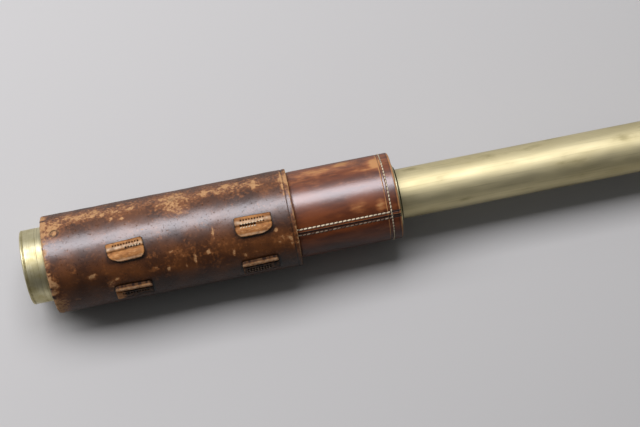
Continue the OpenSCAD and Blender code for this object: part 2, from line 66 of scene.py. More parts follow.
# %% Read the round pieces' sizes from the frame
MM = 0.001


def reach(node):
    """Front end, rear end and outer radius of a round node, in millimetres."""
    low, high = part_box(node)
    return round(low.x / MM, 2), round(high.x / MM, 2), round(high.z / MM, 2)


SHADE_X, SHADE_END_X, SHADE_R = reach("sunshade_leather")
HIDE_X, HIDE_END_X, HIDE_R = reach("body_leather")
DRAW_END_X = reach("draw_3_tube")[1]
CUP_X, CUP_END_X, CUP_R = reach("eye_cup")
print("sunshade", SHADE_X, "to", SHADE_END_X, "body leather to", HIDE_END_X, "cup to", CUP_END_X)

# %% [markdown]
# ## Camera
# The photograph was taken from almost straight above, from about a metre away, with a long lens.
# The camera's place was found by fitting the tube's rims and outlines. It points at a spot on the
# axis and is rolled a little. The lens is given in pixels of the picture, as a fit gives it, and
# becomes millimetres by the width of the sensor.

# %% Set up the camera
CAMERA_AT = Vector((139.71, -220.12, 992.90)) * MM
CAMERA_AIM = Vector((176.98, -2.25, 0)) * MM
CAMERA_ROLL = -1.74
FOCAL_PIXELS = 1700
PHOTO_WIDTH = 640
SENSOR = 36

camera_data = bpy.data.cameras.new("camera")
camera_data.sensor_width = SENSOR
camera_data.lens = FOCAL_PIXELS * SENSOR / PHOTO_WIDTH
camera_data.clip_start = 0.01
camera_data.clip_end = 100
camera = bpy.data.objects.new("camera", camera_data)
scene.collection.objects.link(camera)
ahead = (CAMERA_AIM - CAMERA_AT).normalized()
turned = ahead.to_track_quat("-Z", "Y").to_matrix().to_4x4()
rolled = Matrix.Rotation(math.radians(CAMERA_ROLL), 4, "Z")
camera.matrix_world = Matrix.Translation(CAMERA_AT) @ turned @ rolled
scene.camera = camera
print("camera's right:", [round(c, 4) for c in camera.matrix_world.col[0][:3]])

# %% [markdown]
# ## Materials
# Every finish is worked out from noise at a real size, read at the place of each point, so it fits
# any piece without unwrapping it. One function adds a node with its settings and its links. Another
# turns the colours, which are written as a screen shows them, into the light values that Blender
# reckons with. A noise's scale is 1000 divided by its size in millimetres.

# %% Helpers for materials


def colour(code):
    """Linear colour of an sRGB hex code."""
    parts = [int(code[i:i + 2], 16) / 255 for i in (1, 3, 5)]
    return (*[c / 12.92 if c <= 0.04045 else ((c + 0.055) / 1.055) ** 2.4 for c in parts], 1)


def plug(tree, node, inputs):
    """Sets a node's inputs. Each gets a value, a colour's code, or a node or output to link."""
    sockets = [s for s in node.inputs if s.enabled]
    pairs = inputs.items() if isinstance(inputs, dict) else enumerate(inputs)
    for key, value in pairs:
        socket = sockets[key] if isinstance(key, int) else next(s for s in sockets if s.name == key)
        if isinstance(value, bpy.types.Node):
            value = next(s for s in value.outputs if s.enabled)
        if isinstance(value, bpy.types.NodeSocket):
            tree.links.new(value, socket)
        else:
            socket.default_value = colour(value) if isinstance(value, str) else value


def add(tree, kind, inputs=(), **settings):
    """Adds a node with its settings, and sets its inputs by name or in their order."""
    node = tree.nodes.new("ShaderNode" + kind)
    for name, value in settings.items():
        setattr(node, name, value)
    plug(tree, node, inputs)
    return node


def start(name):
    """Starts a material: returns it with its tree, its shader and the place of each point."""
    material = bpy.data.materials.new(name)
    material.use_nodes = True
    tree = material.node_tree
    return material, tree, tree.nodes["Principled BSDF"], add(tree, "TexCoord").outputs["Object"]


SMOOTH = {"interpolation_type": "SMOOTHSTEP"}
COLOURS = {"data_type": "RGBA"}
print("helpers ready")

# %% [markdown]
# ### Brass
# The draws are drawn brass tube. Sliding in and out has left fine lines along them, and hands have
# left duller, greener patches, so the shine is broken up lengthwise. Noise that is stretched along the
# axis gives both. Bright brass is yellower, and this paler tone was matched to the old metal.

# %% Drawn brass tube
drawn_brass, tree, shader, place = start("brass, drawn tube, handled")
lengthwise = add(tree, "Mapping", {"Vector": place, "Scale": (0.02, 1, 1)})
long_spots = add(tree, "Mapping", {"Vector": place, "Scale": (0.4, 1, 1)})
lines = add(tree, "TexNoise", {"Vector": lengthwise, "Scale": 1000 / 0.8, "Detail": 4})
patina = add(tree, "TexNoise", {"Vector": long_spots, "Scale": 1000 / 22, "Detail": 3})
smudge = add(tree, "TexNoise", {"Vector": long_spots, "Scale": 1000 / 8, "Detail": 5})
patina_mask = add(tree, "MapRange", (patina, 0.35, 0.7), **SMOOTH)
smudge_mask = add(tree, "MapRange", (smudge, 0.59, 0.78, 0, 0.5), **SMOOTH)
grime_and_shade = add(tree, "Attribute", attribute_name="grime_and_shade").outputs["Fac"]
line_mask = add(tree, "MapRange", (lines, 0.5, 0.75, 0, 0.25), **SMOOTH)
tone = add(tree, "Mix", (patina_mask, "#e8dcb0", "#cfc292"), **COLOURS)
tone = add(tree, "Mix", (smudge_mask, tone, "#958a5b"), **COLOURS)
tone = add(tree, "Mix", (line_mask, tone, "#8d8157"), **COLOURS)
# The grime-and-shade value darkens the metal: shade painted on the draws' lower side.
tone = add(tree, "Mix", (grime_and_shade, tone, "#2b2613"), **COLOURS)
dull = add(tree, "MapRange", (smudge, 0.4, 0.75, 0.56, 0.66))
bump = add(tree, "Bump", {"Strength": 0.12, "Distance": 0.0002, "Height": lines})
plug(tree, shader, {"Metallic": 1, "Base Color": tone, "Roughness": dull, "Normal": bump})
print("made", drawn_brass.name)

# %% [markdown]
# The cell, collars and eyepiece were turned on a lathe, which leaves fine rings around them, and
# nobody polishes them: the brass has gone brown where fingers don't reach. The noise is stretched
# round the axis here. The real rings are too fine to show, so they are drawn half a millimetre apart.

# %% Turned brass
turned_brass, tree, shader, place = start("brass, turned, tarnished")
ringwise = add(tree, "Mapping", {"Vector": place, "Scale": (1, 0.025, 0.025)})
rings = add(tree, "TexNoise", {"Vector": ringwise, "Scale": 1000 / 0.5, "Detail": 3})
tarnish = add(tree, "TexNoise", {"Vector": place, "Scale": 1000 / 9, "Detail": 5})
grime_and_shade = add(tree, "Attribute", attribute_name="grime_and_shade").outputs["Fac"]
tarnish_mask = add(tree, "MapRange", (tarnish, 0.35, 0.7), **SMOOTH)
ring_mask = add(tree, "MapRange", (rings, 0.5, 0.7, 0, 0.3), **SMOOTH)
tone = add(tree, "Mix", (tarnish_mask, "#dcd4ae", "#bbb082"), **COLOURS)
tone = add(tree, "Mix", (ring_mask, tone, "#7a6b40"), **COLOURS)
# The grime-and-shade value darkens the metal: in the cell's grooves and mouth, the collars' steps and the
# milling.
tone = add(tree, "Mix", (grime_and_shade, tone, "#17130c"), **COLOURS)
dull = add(tree, "MapRange", (tarnish, 0.35, 0.7, 0.46, 0.56))
bump = add(tree, "Bump", {"Strength": 0.15, "Distance": 0.0001, "Height": rings})
plug(tree, shader, {"Metallic": 1, "Base Color": tone, "Roughness": dull, "Normal": bump})
print("made", turned_brass.name)

# %% [markdown]
# Inside, where nothing rubs, brass goes dull and brown. What stands near the light path is
# blackened with lampblack lacquer, so that it gives no glare. The lacquer is paint, not metal, so its
# shader isn't metallic, and it has worn through to a brown in small spots.

# %% Dull and blackened brass
dull_brass, tree, shader, place = start("brass, tube, tarnished brown")
stain = add(tree, "TexNoise", {"Vector": place, "Scale": 1000 / 6, "Detail": 5})
stain_mask = add(tree, "MapRange", (stain, 0.35, 0.65), **SMOOTH)
tone = add(tree, "Mix", (stain_mask, "#9c8c58", "#6f6038"), **COLOURS)
dull = add(tree, "MapRange", (stain, 0.35, 0.65, 0.42, 0.58))
plug(tree, shader, {"Metallic": 1, "Base Color": tone, "Roughness": dull})

black_brass, tree, shader, place = start("brass, lampblack lacquer")
worn = add(tree, "TexNoise", {"Vector": place, "Scale": 1000 / 2.5, "Detail": 5})
worn_mask = add(tree, "MapRange", (worn, 0.62, 0.72), **SMOOTH)
tone = add(tree, "Mix", (worn_mask, "#1b1918", "#4a4230"), **COLOURS)
dull = add(tree, "MapRange", (worn, 0.35, 0.7, 0.65, 0.5))
plug(tree, shader, {"Base Color": tone, "Roughness": dull})
print("made", dull_brass.name, "and", black_brass.name)

# %% [markdown]
# ### Glass, felt and thread
# The lenses are clear, polished glass, with the IOR of crown glass, and only a faint haze of age. The
# sunshade's rings are lined with wool felt, a mat of fibres with no shine but a soft sheen. Its fibres
# are too fine to show, so a fuzz of about half a millimetre stands for them. All the leather is sewn
# with waxed linen thread, cream where it is clean, and brown where it lies in dirt and where shade is
# painted on it.

# %% Glass, felt and thread
lens_glass, tree, shader, place = start("crown glass, polished")
haze = add(tree, "TexNoise", {"Vector": place, "Scale": 1000 / 5, "Detail": 4})
tone = add(tree, "Mix", (haze, "#fbfdfb", "#f1f5ef"), **COLOURS)
plug(tree, shader, {"Base Color": tone, "Roughness": 0.02, "Transmission Weight": 1, "IOR": 1.517})

felt, tree, shader, place = start("wool felt, green")
fuzz = add(tree, "TexNoise", {"Vector": place, "Scale": 1000 / 0.6, "Detail": 5})
tone = add(tree, "Mix", (fuzz, "#1c2a20", "#3c4a3a"), **COLOURS)
bump = add(tree, "Bump", {"Strength": 0.5, "Distance": 0.0002, "Height": fuzz})
plug(tree, shader, {"Base Color": tone, "Roughness": 0.95, "Sheen Weight": 0.3, "Normal": bump})

thread, tree, shader, place = start("linen thread, waxed")
twist = add(tree, "TexNoise", {"Vector": place, "Scale": 1000 / 0.35, "Detail": 2})
dirt_and_shade = add(tree, "Attribute", attribute_name="grime_and_shade").outputs["Fac"]
tone = add(tree, "Mix", (twist, "#f2e6cb", "#cdb487"), **COLOURS)
# Brown where the grime-and-shade value is high: dirt, and painted shade.
tone = add(tree, "Mix", (dirt_and_shade, tone, "#4a2f1d"), **COLOURS)
bump = add(tree, "Bump", {"Strength": 0.4, "Distance": 0.0001, "Height": twist})
plug(tree, shader, {"Base Color": tone, "Roughness": 0.7, "Normal": bump})
print("made", lens_glass.name, felt.name, thread.name)

# %% [markdown]
# ### Leather
# All three leathers are oak-tanned cowhide. Wax and hands have polished the grain, so it mirrors the
# lamp in a soft white band. Where it was scraped, the raw, tan fibres show, without shine. The pieces
# carry three values at each point: wear, for how likely the grain is to be gone, grime and shade, for
# dirt in seams and folds and for shade that is painted darker on the underside, round the tabs and
# below the lap, and shine, for how well the wax is polished. Two sizes of noise are added to the
# wear, which breaks it up into flecks and ragged patches: above one level the dye has only faded, and
# above a second one it is gone.
#
# The wax is a coat on the shader. Wax has an IOR of about 1.45, and the higher one here was matched to
# the strong band that the photograph shows, while the fibres under it scatter light and get a low
# specular level. The wax is crazed with hairlines, which are too fine to show, so they are drawn
# coarser, as pits of a millimetre or so where the coat is thin.

# %% Brown leather of the sunshade
brown_leather, tree, shader, place = start("cowhide, oak-tanned, brown, waxed")
cloud = add(tree, "TexNoise", {"Vector": place, "Scale": 1000 / 14, "Detail": 5})
fine = add(tree, "TexNoise", {"Vector": place, "Scale": 1000 / 1.7, "Detail": 5, "Roughness": 0.6})
coarse = add(tree, "TexNoise", {"Vector": place, "Scale": 1000 / 5, "Detail": 3})
grain = add(tree, "TexNoise", {"Vector": place, "Scale": 1000 / 0.9, "Detail": 4, "Roughness": 0.7})
wear = add(tree, "Attribute", attribute_name="wear").outputs["Fac"]
grime_and_shade = add(tree, "Attribute", attribute_name="grime_and_shade").outputs["Fac"]
ragged = add(tree, "Math", (fine, 1.7, wear), operation="MULTIPLY_ADD")
ragged = add(tree, "Math", (coarse, 0.8, ragged), operation="MULTIPLY_ADD")
faded = add(tree, "MapRange", (ragged, 1.35, 1.85), **SMOOTH)
raw = add(tree, "MapRange", (ragged, 1.72, 2.05), **SMOOTH)
cloud_mask = add(tree, "MapRange", (cloud, 0.3, 0.7), **SMOOTH)
tan = add(tree, "Mix", (grain, "#9a6537", "#d6aa79"), **COLOURS)
tone = add(tree, "Mix", (cloud_mask, "#42230f", "#6a3c19"), **COLOURS)
tone = add(tree, "Mix", (faded, tone, "#855027"), **COLOURS)
tone = add(tree, "Mix", (raw, tone, tan), **COLOURS)
# Near-black where the grime-and-shade value is high: dirt, and shade painted on the underside and round the
# tabs.
tone = add(tree, "Mix", (grime_and_shade, tone, "#100a07"), **COLOURS)
dull = add(tree, "MapRange", (raw, 0, 1, 0.42, 0.7))
shine = add(tree, "Attribute", attribute_name="shine").outputs["Fac"]
wax = add(tree, "Math", (shine, add(tree, "MapRange", (raw, 0, 1, 1, 0.3))), operation="MULTIPLY")
crazed = add(tree, "TexNoise", {"Vector": place, "Scale": 1000 / 1.6, "Detail": 6, "Roughness": 0.7})
pits = add(tree, "MapRange", (crazed, 0.57, 0.66), **SMOOTH)
wax = add(tree, "Math", (wax, add(tree, "MapRange", (pits, 0, 1, 1, 0.25))), operation="MULTIPLY")
relief = add(tree, "Math", (raw, -0.5, grain), operation="MULTIPLY_ADD")
relief = add(tree, "Math", (pits, -0.7, relief), operation="MULTIPLY_ADD")
bump = add(tree, "Bump", {"Strength": 0.7, "Distance": 0.0003, "Height": relief})
plug(tree, shader, {"Base Color": tone, "Roughness": dull, "Normal": bump, "Specular IOR Level": 0.1,
                    "Coat Weight": wax, "Coat Roughness": 0.33, "Coat IOR": 1.8})
print("made", brown_leather.name)

# %% [markdown]
# The body's leather is redder and smoother, because the sunshade protected it. The hand has rubbed
# streaks along it, so its noise is stretched, and the wax has worn through in a few tan patches. Its
# wax is whole and harder: the coat is smoother than the sunshade's and has no pits.

# %% Chestnut leather of the body
chestnut_leather, tree, shader, place = start("cowhide, oak-tanned, chestnut, polished")
streaky = add(tree, "Mapping", {"Vector": place, "Scale": (0.28, 1, 1)})
cloud = add(tree, "TexNoise", {"Vector": streaky, "Scale": 1000 / 7, "Detail": 5})
fine = add(tree, "TexNoise", {"Vector": streaky, "Scale": 1000 / 1.6, "Detail": 4})
coarse = add(tree, "TexNoise", {"Vector": place, "Scale": 1000 / 5, "Detail": 3})
grain = add(tree, "TexNoise", {"Vector": place, "Scale": 1000 / 0.7, "Detail": 4, "Roughness": 0.7})
wear = add(tree, "Attribute", attribute_name="wear").outputs["Fac"]
grime_and_shade = add(tree, "Attribute", attribute_name="grime_and_shade").outputs["Fac"]
ragged = add(tree, "Math", (fine, 0.8, wear), operation="MULTIPLY_ADD")
ragged = add(tree, "Math", (coarse, 0.5, ragged), operation="MULTIPLY_ADD")
faded = add(tree, "MapRange", (ragged, 0.75, 1.25), **SMOOTH)
raw = add(tree, "MapRange", (ragged, 1.1, 1.5), **SMOOTH)
cloud_mask = add(tree, "MapRange", (cloud, 0.3, 0.7), **SMOOTH)
tone = add(tree, "Mix", (cloud_mask, "#54260f", "#80411b"), **COLOURS)
tone = add(tree, "Mix", (faded, tone, "#9c5c30"), **COLOURS)
tone = add(tree, "Mix", (raw, tone, "#c08a57"), **COLOURS)
# Near-black where the grime-and-shade value is high: dirt, and shade painted on the underside and below the
# lap.
tone = add(tree, "Mix", (grime_and_shade, tone, "#130a07"), **COLOURS)
dull = add(tree, "MapRange", (raw, 0, 1, 0.4, 0.62))
shine = add(tree, "Attribute", attribute_name="shine").outputs["Fac"]
wax = add(tree, "Math", (shine, add(tree, "MapRange", (raw, 0, 1, 1, 0.4))), operation="MULTIPLY")
bump = add(tree, "Bump", {"Strength": 0.55, "Distance": 0.0002, "Height": grain})
plug(tree, shader, {"Base Color": tone, "Roughness": dull, "Normal": bump, "Specular IOR Level": 0.1,
                    "Coat Weight": wax, "Coat Roughness": 0.3, "Coat IOR": 1.9})
print("made", chestnut_leather.name)

# %% [markdown]
# The keeper tabs are thick, dry leather that has lost its dye and wax: tan and fibrous in the middle,
# brown at the edges, pale where the fold was rubbed. Nothing on them shines, so they have no coat.

# %% Tan leather of the keepers
tan_leather, tree, shader, place = start("cowhide, oak-tanned, tan, dry")
drawn_out = add(tree, "Mapping", {"Vector": place, "Scale": (0.3, 1, 1)})
fibre = add(tree, "TexNoise", {"Vector": drawn_out, "Scale": 1000 / 0.9, "Detail": 5, "Roughness": 0.65})
cloud = add(tree, "TexNoise", {"Vector": drawn_out, "Scale": 1000 / 3, "Detail": 4})
wear = add(tree, "Attribute", attribute_name="wear").outputs["Fac"]
grime_and_shade = add(tree, "Attribute", attribute_name="grime_and_shade").outputs["Fac"]
cloud_mask = add(tree, "MapRange", (cloud, 0.35, 0.65), **SMOOTH)
fibre_mask = add(tree, "MapRange", (fibre, 0.5, 0.68, 0, 0.6), **SMOOTH)
tone = add(tree, "Mix", (cloud_mask, "#955f30", "#b97f47"), **COLOURS)
tone = add(tree, "Mix", (fibre_mask, tone, "#cf9e6b"), **COLOURS)
tone = add(tree, "Mix", (wear, tone, "#dfc09c"), **COLOURS)
# Near-black where the grime-and-shade value is high: holes, folds and stains, and shade painted on the lower
# tabs' sewn side.
tone = add(tree, "Mix", (grime_and_shade, tone, "#231208"), **COLOURS)
dull = add(tree, "MapRange", (fibre, 0.3, 0.7, 0.55, 0.75))
bump = add(tree, "Bump", {"Strength": 0.4, "Distance": 0.0003, "Height": fibre})
plug(tree, shader, {"Base Color": tone, "Roughness": dull, "Specular IOR Level": 0.2, "Normal": bump})
print("made", tan_leather.name)

# %% [markdown]
# ## Turned pieces
# A lathe cuts the same outline all round, and so does the spin operator: a few points that give the
# outline, spun once about the optical axis. The sharp edges then get the small round that any
# handled brass edge has. Every other change to a leather or a tube is made later, by moving its points.

# %% Helpers for pieces
SHARP = math.radians(32)


def arc(x, r, radius, start, end, steps=6):
    """Round stretch of an outline about the point (x, r), from one angle to another."""
    angles = np.radians(np.linspace(start, end, steps + 1))
    return [(x + radius * math.cos(a), r + radius * math.sin(a)) for a in angles]


def spun(outline, turns=((360, 180),), edge=0.1):
    """Mesh of a closed outline of (x, radius) points, spun about the optical axis."""
    bm = bmesh.new()
    points = [bm.verts.new((x * MM, -r * MM, 0)) for x, r in outline]
    first = 1 if outline[0][1] == outline[-1][1] == 0 else 0
    part = points + [bm.edges.new((points[i - 1], points[i])) for i in range(first, len(points))]
    for angle, steps in turns:
        part = bmesh.ops.spin(
            bm, geom=part, cent=(0, 0, 0), axis=(-1, 0, 0), angle=math.radians(angle), steps=steps,
            use_merge=angle == 360)["geom_last"]
    bmesh.ops.remove_doubles(bm, verts=bm.verts, dist=1e-6)
    bmesh.ops.recalc_face_normals(bm, faces=bm.faces)
    if edge:
        corners = [e for e in bm.edges if len(e.link_faces) == 2 and e.calc_face_angle() > SHARP]
        bmesh.ops.bevel(bm, geom=corners, offset=edge * MM, offset_type="OFFSET", segments=2,
                        profile=0.5, material=-1, affect="EDGES", clamp_overlap=True)
    return bm


def piece_from(bm, name, body, slot, material, *stands_for):
    """Makes the piece, gives it its finish, and lets it ride on its body. A shape whose volume comes
    out negative is inside out, and is turned first."""
    if bm.calc_volume(signed=True) < 0:
        bmesh.ops.reverse_faces(bm, faces=bm.faces)
    mesh = bpy.data.meshes.new(name)
    bm.to_mesh(mesh)
    bm.free()
    mesh.shade_smooth()
    mesh.set_sharp_from_angle(angle=SHARP)
    mesh.materials.append(material)
    piece = bpy.data.objects.new(name, mesh)
    scene.collection.objects.link(piece)
    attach(piece, body)
    if stands_for:
        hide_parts(*stands_for)
    print(name, len(mesh.polygons), "faces")
    return piece


def polar(mesh):
    """Place along the axis, radius and height of each point of a mesh, in millimetres and degrees."""
    points = np.empty(len(mesh.vertices) * 3)
    mesh.vertices.foreach_get("co", points)
    x, y, z = points.reshape(-1, 3).T / MM
    return x, np.hypot(y, z), np.degrees(np.arctan2(z, -y))


def put_back(mesh, x, r, height):
    """Moves each point of a mesh to its place along the axis, radius and height."""
    angle = np.radians(height)
    points = np.stack([x, -r * np.cos(angle), r * np.sin(angle)], 1) * MM
    mesh.vertices.foreach_set("co", points.astype(np.float32).ravel())
    mesh.update()


def mark(mesh, name, values):
    """Stores one value at each point of a mesh, which the material reads."""
    values = np.clip(values, 0, 1).astype(np.float32)
    mesh.attributes.new(name, "FLOAT", "POINT").data.foreach_set("value", values)


def roughness(mesh, size, stretch=(1, 1, 1), seed=0):
    """Smooth noise from -1 to 1 at each point of a mesh, with bumps of about that size in millimetres."""
    scale = [1 / (size * MM * s) for s in stretch]
    shift = Vector((seed, seed, seed))
    places = [Vector([c * s for c, s in zip(v.co, scale)]) + shift for v in mesh.vertices]
    return np.array([noise.noise(place) for place in places])


def polish(height):
    """How well the wax shines: fully on top, where hands rub, and hardly at all below."""
    return 0.1 + 0.9 * np.exp(-((height - 92) / 47) ** 4)


def underside_shade(height):
    """Painted shade of the underside: none above, and most of it below."""
    return 0.7 / (1 + np.exp((np.sin(np.radians(height)) - 0.42) / 0.13))


def bump_at(value, centre, width):
    """1 at the centre, falling to almost nothing at the given width on either side."""
    return np.exp(-3 * ((value - centre) / width) ** 2)


print("helpers ready")

# %% [markdown]
# ### Objective cell
# The brass ring at the front has a rolled bead at its mouth, a turned groove behind it and a fainter
# one further back. Inside, a lip holds the lens. All of that is one outline. The grooves are painted
# darker, as shade, the inside of the mouth is painted near-black, and both are written at the points
# there.

# %% Turn the objective cell
CELL_R, BEAD = 22.4, 1.5
BAND_R, REAR_R, REAR_L = CELL_R - 0.12, CELL_R - 0.3, 2
# Each groove: its place along the axis, and half its width, which is also its depth
GROOVES = ((2, 0.2), (9.2, 0.1))
LIP_X, LIP_END_X, LIP_R, GLASS_BORE, SPIGOT_R = 6.3, 7, 19.4, 20.7, 21.75
cell_end_x = reach("objective_cell")[1]
step_x = reach("body_tube")[0]
outline = arc(BEAD / 2, CELL_R - BEAD / 2, BEAD / 2, 200, 20, 8)
for x, half in GROOVES:
    outline += [(x - half, BAND_R), (x, BAND_R - half), (x + half, BAND_R)]
outline += [(step_x - REAR_L, BAND_R), (step_x - REAR_L, REAR_R), (step_x, REAR_R), (step_x, SPIGOT_R),
            (cell_end_x, SPIGOT_R), (cell_end_x, GLASS_BORE), (LIP_END_X, GLASS_BORE), (LIP_END_X, LIP_R),
            (LIP_X, LIP_R), (0.4, CELL_R - BEAD)]
cell = piece_from(spun(outline, edge=0.06), "objective_ring", "barrel", "satin_brass", turned_brass,
                  "objective_cell")
x, r, height = polar(cell.data)
outside = r > CELL_R - 1
# Painted shade in the grooves, and near-black inside the mouth.
dirt_and_shade = sum(1.4 * half * bump_at(x, place, half) for place, half in GROOVES) * outside
mark(cell.data, "grime_and_shade", dirt_and_shade + 0.85 * (r < CELL_R - 1.6))

# %% [markdown]
# ### Objective lenses
# Two lenses sit behind the lip, almost touching: a crown lens that bulges on both sides, and a flint
# lens hollowed to match. A lens face is a shallow arc that starts on the axis, so spinning it closes
# the middle in one point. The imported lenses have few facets, which would show as flats in the glass.

# %% Grind the lenses


def face(radius, edge_x, edge_r, sign, steps=14):
    """Points of a lens face from its axis to its edge. sign is -1 where it bulges to the front."""
    sag = radius - math.sqrt(radius ** 2 - edge_r ** 2)
    rs = [edge_r * i / steps for i in range(steps + 1)]
    return [(edge_x + sign * (sag - radius + math.sqrt(radius ** 2 - r ** 2)), r) for r in rs]


CROWN_FRONT_R, CROWN_BACK_R, CROWN_EDGE, LENS_GAP = 180, 130, 2.2, 0.1
crown_front_x, _, lens_r = reach("crown_lens")
edge_x = crown_front_x + CROWN_FRONT_R - math.sqrt(CROWN_FRONT_R ** 2 - lens_r ** 2)
crown = face(CROWN_FRONT_R, edge_x, lens_r, -1) + face(CROWN_BACK_R, edge_x + CROWN_EDGE, lens_r, 1)[::-1]
piece_from(spun(crown, edge=0), "crown_glass", "barrel", "lens_glass", lens_glass, "crown_lens")
flint_x = edge_x + CROWN_EDGE + LENS_GAP
flint_end_x = reach("flint_lens")[1]
flint = face(CROWN_BACK_R, flint_x, lens_r, 1) + [(flint_end_x, lens_r), (flint_end_x, 0)]
piece_from(spun(flint, edge=0), "flint_glass", "barrel", "lens_glass", lens_glass, "flint_lens")

# %% [markdown]
# ### Draws
# Each draw is a thin tube. An old one isn't perfectly round any more: shallow waves along it make its
# shine wander, so its points are moved by a broad noise. The lower side is painted darker, as shade.

# %% Draw the tubes
WALL, SLACK = 0.7, 0.05
WAVE_DEPTH = 0.03
# Painted shade lies below this height above the axis, and fades over this distance
PAINTED_SHADE_LINE, PAINTED_SHADE_FADE = 3.2, 2.6


def draw(number):
    """One draw tube, with its waves. Returns its outer radius."""
    x0, x1, r = reach(f"draw_{number}_tube")
    r = round(r, 1)
    places = np.linspace(x0, x1, 60)
    outline = [(x, r) for x in places] + [(x, r - WALL) for x in places[::-1]]
    tube = piece_from(spun(outline), f"draw_{number}_brass", f"draw_{number}", "satin_brass", drawn_brass,
                      f"draw_{number}_tube")
    x, radius, height = polar(tube.data)
    waves = WAVE_DEPTH * roughness(tube.data, 26, (1.5, 1, 1), number)
    put_back(tube.data, x, radius + waves - 0.02, height)
    # Painted shade: the lower side of the tube is darkened.
    under = 1 / (1 + np.exp((r * np.sin(np.radians(height)) - PAINTED_SHADE_LINE) / PAINTED_SHADE_FADE))
    mark(tube.data, "grime_and_shade", 0.75 * under * (1 + 0.4 * roughness(tube.data, 14, (3, 1, 1), 7)))
    return r


draw_r = {number: draw(number) for number in (1, 2, 3)}

# %% [markdown]
# A flanged collar closes the rear end of each larger draw, and the smaller draw runs in its bore. It is
# turned from one outline, like the cell. The narrow step where the smaller draw comes out is painted
# near-black.

# %% Turn the collars
FLANGE_ROUND = 0.3
# Width of the near-black ring painted round the bore
DARKENED_RING = 1.75


def collar(number, bore, step):
    """Flanged collar in the rear end of a draw, with its bore and the length of the step behind it."""
    x0, x2, r = reach(f"draw_{number}_collar")
    r = round(r, 1)
    seat = draw_r[number] - WALL - SLACK
    x1 = reach(f"draw_{number}_tube")[1]
    outline = [(x0, bore), (x0, seat), (x1, seat), (x1, r - 0.1),
               *arc(x2 - step - FLANGE_ROUND, r - FLANGE_ROUND, FLANGE_ROUND, 90, 0, 3)]
    outline += [(x2 - step, seat), (x2, seat), (x2, bore)] if step else [(x2, bore)]
    made = piece_from(spun(outline, edge=0.06), f"draw_{number}_flange", f"draw_{number}", "satin_brass",
                      turned_brass, f"draw_{number}_collar")
    x, radius, height = polar(made.data)
    # The ring round the bore, behind the tube's end, is painted near-black.
    mark(made.data, "grime_and_shade", 0.95 * (radius < bore + DARKENED_RING) * (x > x1))


collar(1, draw_r[2] + SLACK, 0)
collar(2, draw_r[3] + SLACK, 0.8)

# %% [markdown]
# ### Eyepiece
# The mount screws into the last draw and is milled round its edge for grip. The milling is a wave in
# the radius: the ring is spun with four steps to each tooth, and the points of its rim are moved in.
# Cutting ninety teeth with other meshes would give the same look with much more work.

# %% Turn the eyepiece mount
MOUNT_R, MOUNT_EDGE, EYE_BORE = 17.2, 0.4, 12.75
MILLS, MILL_DEPTH = 90, 0.22
mount_x, mount_end_x, _ = reach("eyepiece_mount")
sleeve_r = draw_r[3] - WALL - SLACK
outline = [(mount_x, EYE_BORE), (mount_x, sleeve_r), (DRAW_END_X, sleeve_r),
           (DRAW_END_X, MOUNT_R - MOUNT_EDGE), (DRAW_END_X + MOUNT_EDGE, MOUNT_R),
           (mount_end_x - MOUNT_EDGE, MOUNT_R), (mount_end_x, MOUNT_R - MOUNT_EDGE), (mount_end_x, EYE_BORE)]
mount = piece_from(spun(outline, ((360, MILLS * 4),), edge=0), "eyepiece_ring", "draw_3", "satin_brass",
                   turned_brass, "eyepiece_mount")
x, r, height = polar(mount.data)
milled = (r > MOUNT_R - 0.1) * MILL_DEPTH * (1 + np.cos(np.radians(height * MILLS))) / 2
put_back(mount.data, x, r - milled, height)
# The milled grooves are painted darker by their depth.
mark(mount.data, "grime_and_shade", 2.2 * milled)

# %% [markdown]
# The eye cup has a deep dish, which keeps side light from the eye, with the eye hole in its middle. Its
# rim and the edge of the hole are rounded, as they touch the eye and the shutter runs over them.

# %% Turn the eye cup
DISH, HOLE_R, HOLE_ROUND, FLOOR_THICK = 4.2, 3.5, 0.7, 3
dish_x = CUP_END_X - DISH
dish_floor = [(dish_x, HOLE_R + HOLE_ROUND),
              *arc(dish_x - HOLE_ROUND, HOLE_R + HOLE_ROUND, HOLE_ROUND, 0, -90),
              (dish_x - FLOOR_THICK, HOLE_R), (dish_x - FLOOR_THICK, EYE_BORE)]
cup = [(CUP_X, EYE_BORE), (CUP_X, CUP_R - 0.8), (CUP_X + 0.8, CUP_R), (CUP_X + 2.4, CUP_R),
       (CUP_X + 2.8, CUP_R - 0.3), (CUP_X + 3.2, CUP_R), *arc(CUP_END_X - 1, CUP_R - 1, 1, 90, 0),
       *arc(CUP_END_X - 1, CUP_R - 1.6, 1, 0, -90), *arc(dish_x + 0.2, CUP_R - 2.8, 0.2, 90, 180, 2),
       *dish_floor]
piece_from(spun(cup, edge=0.06), "eye_cup_brass", "draw_3", "satin_brass", turned_brass, "eye_cup")

# %% [markdown]
# ## Leather sleeves
# The sunshade's cover is one piece of thick leather, glued round its brass tube. It has an outline like
# any turned piece, but nothing about it is round any more. Sculpting each dent by hand would take long
# and couldn't be repeated, so it is spun with many small faces here, and moved by noise afterwards.

# %% Shape the sunshade's leather
SHADE_BORE = 27.5
MEAN_R = 29.3
# The leather leans this far towards this height
LEAN, LEAN_AT = 1.1, -12.5
FRONT_ROUND, REAR_ROUND = 1.4, 0.6
CREASE_X = SHADE_END_X - 2.5


def shade_r(height):
    """Outer radius of the sunshade's leather, which is thicker on the near side."""
    return MEAN_R + LEAN * np.cos(np.radians(height - LEAN_AT))


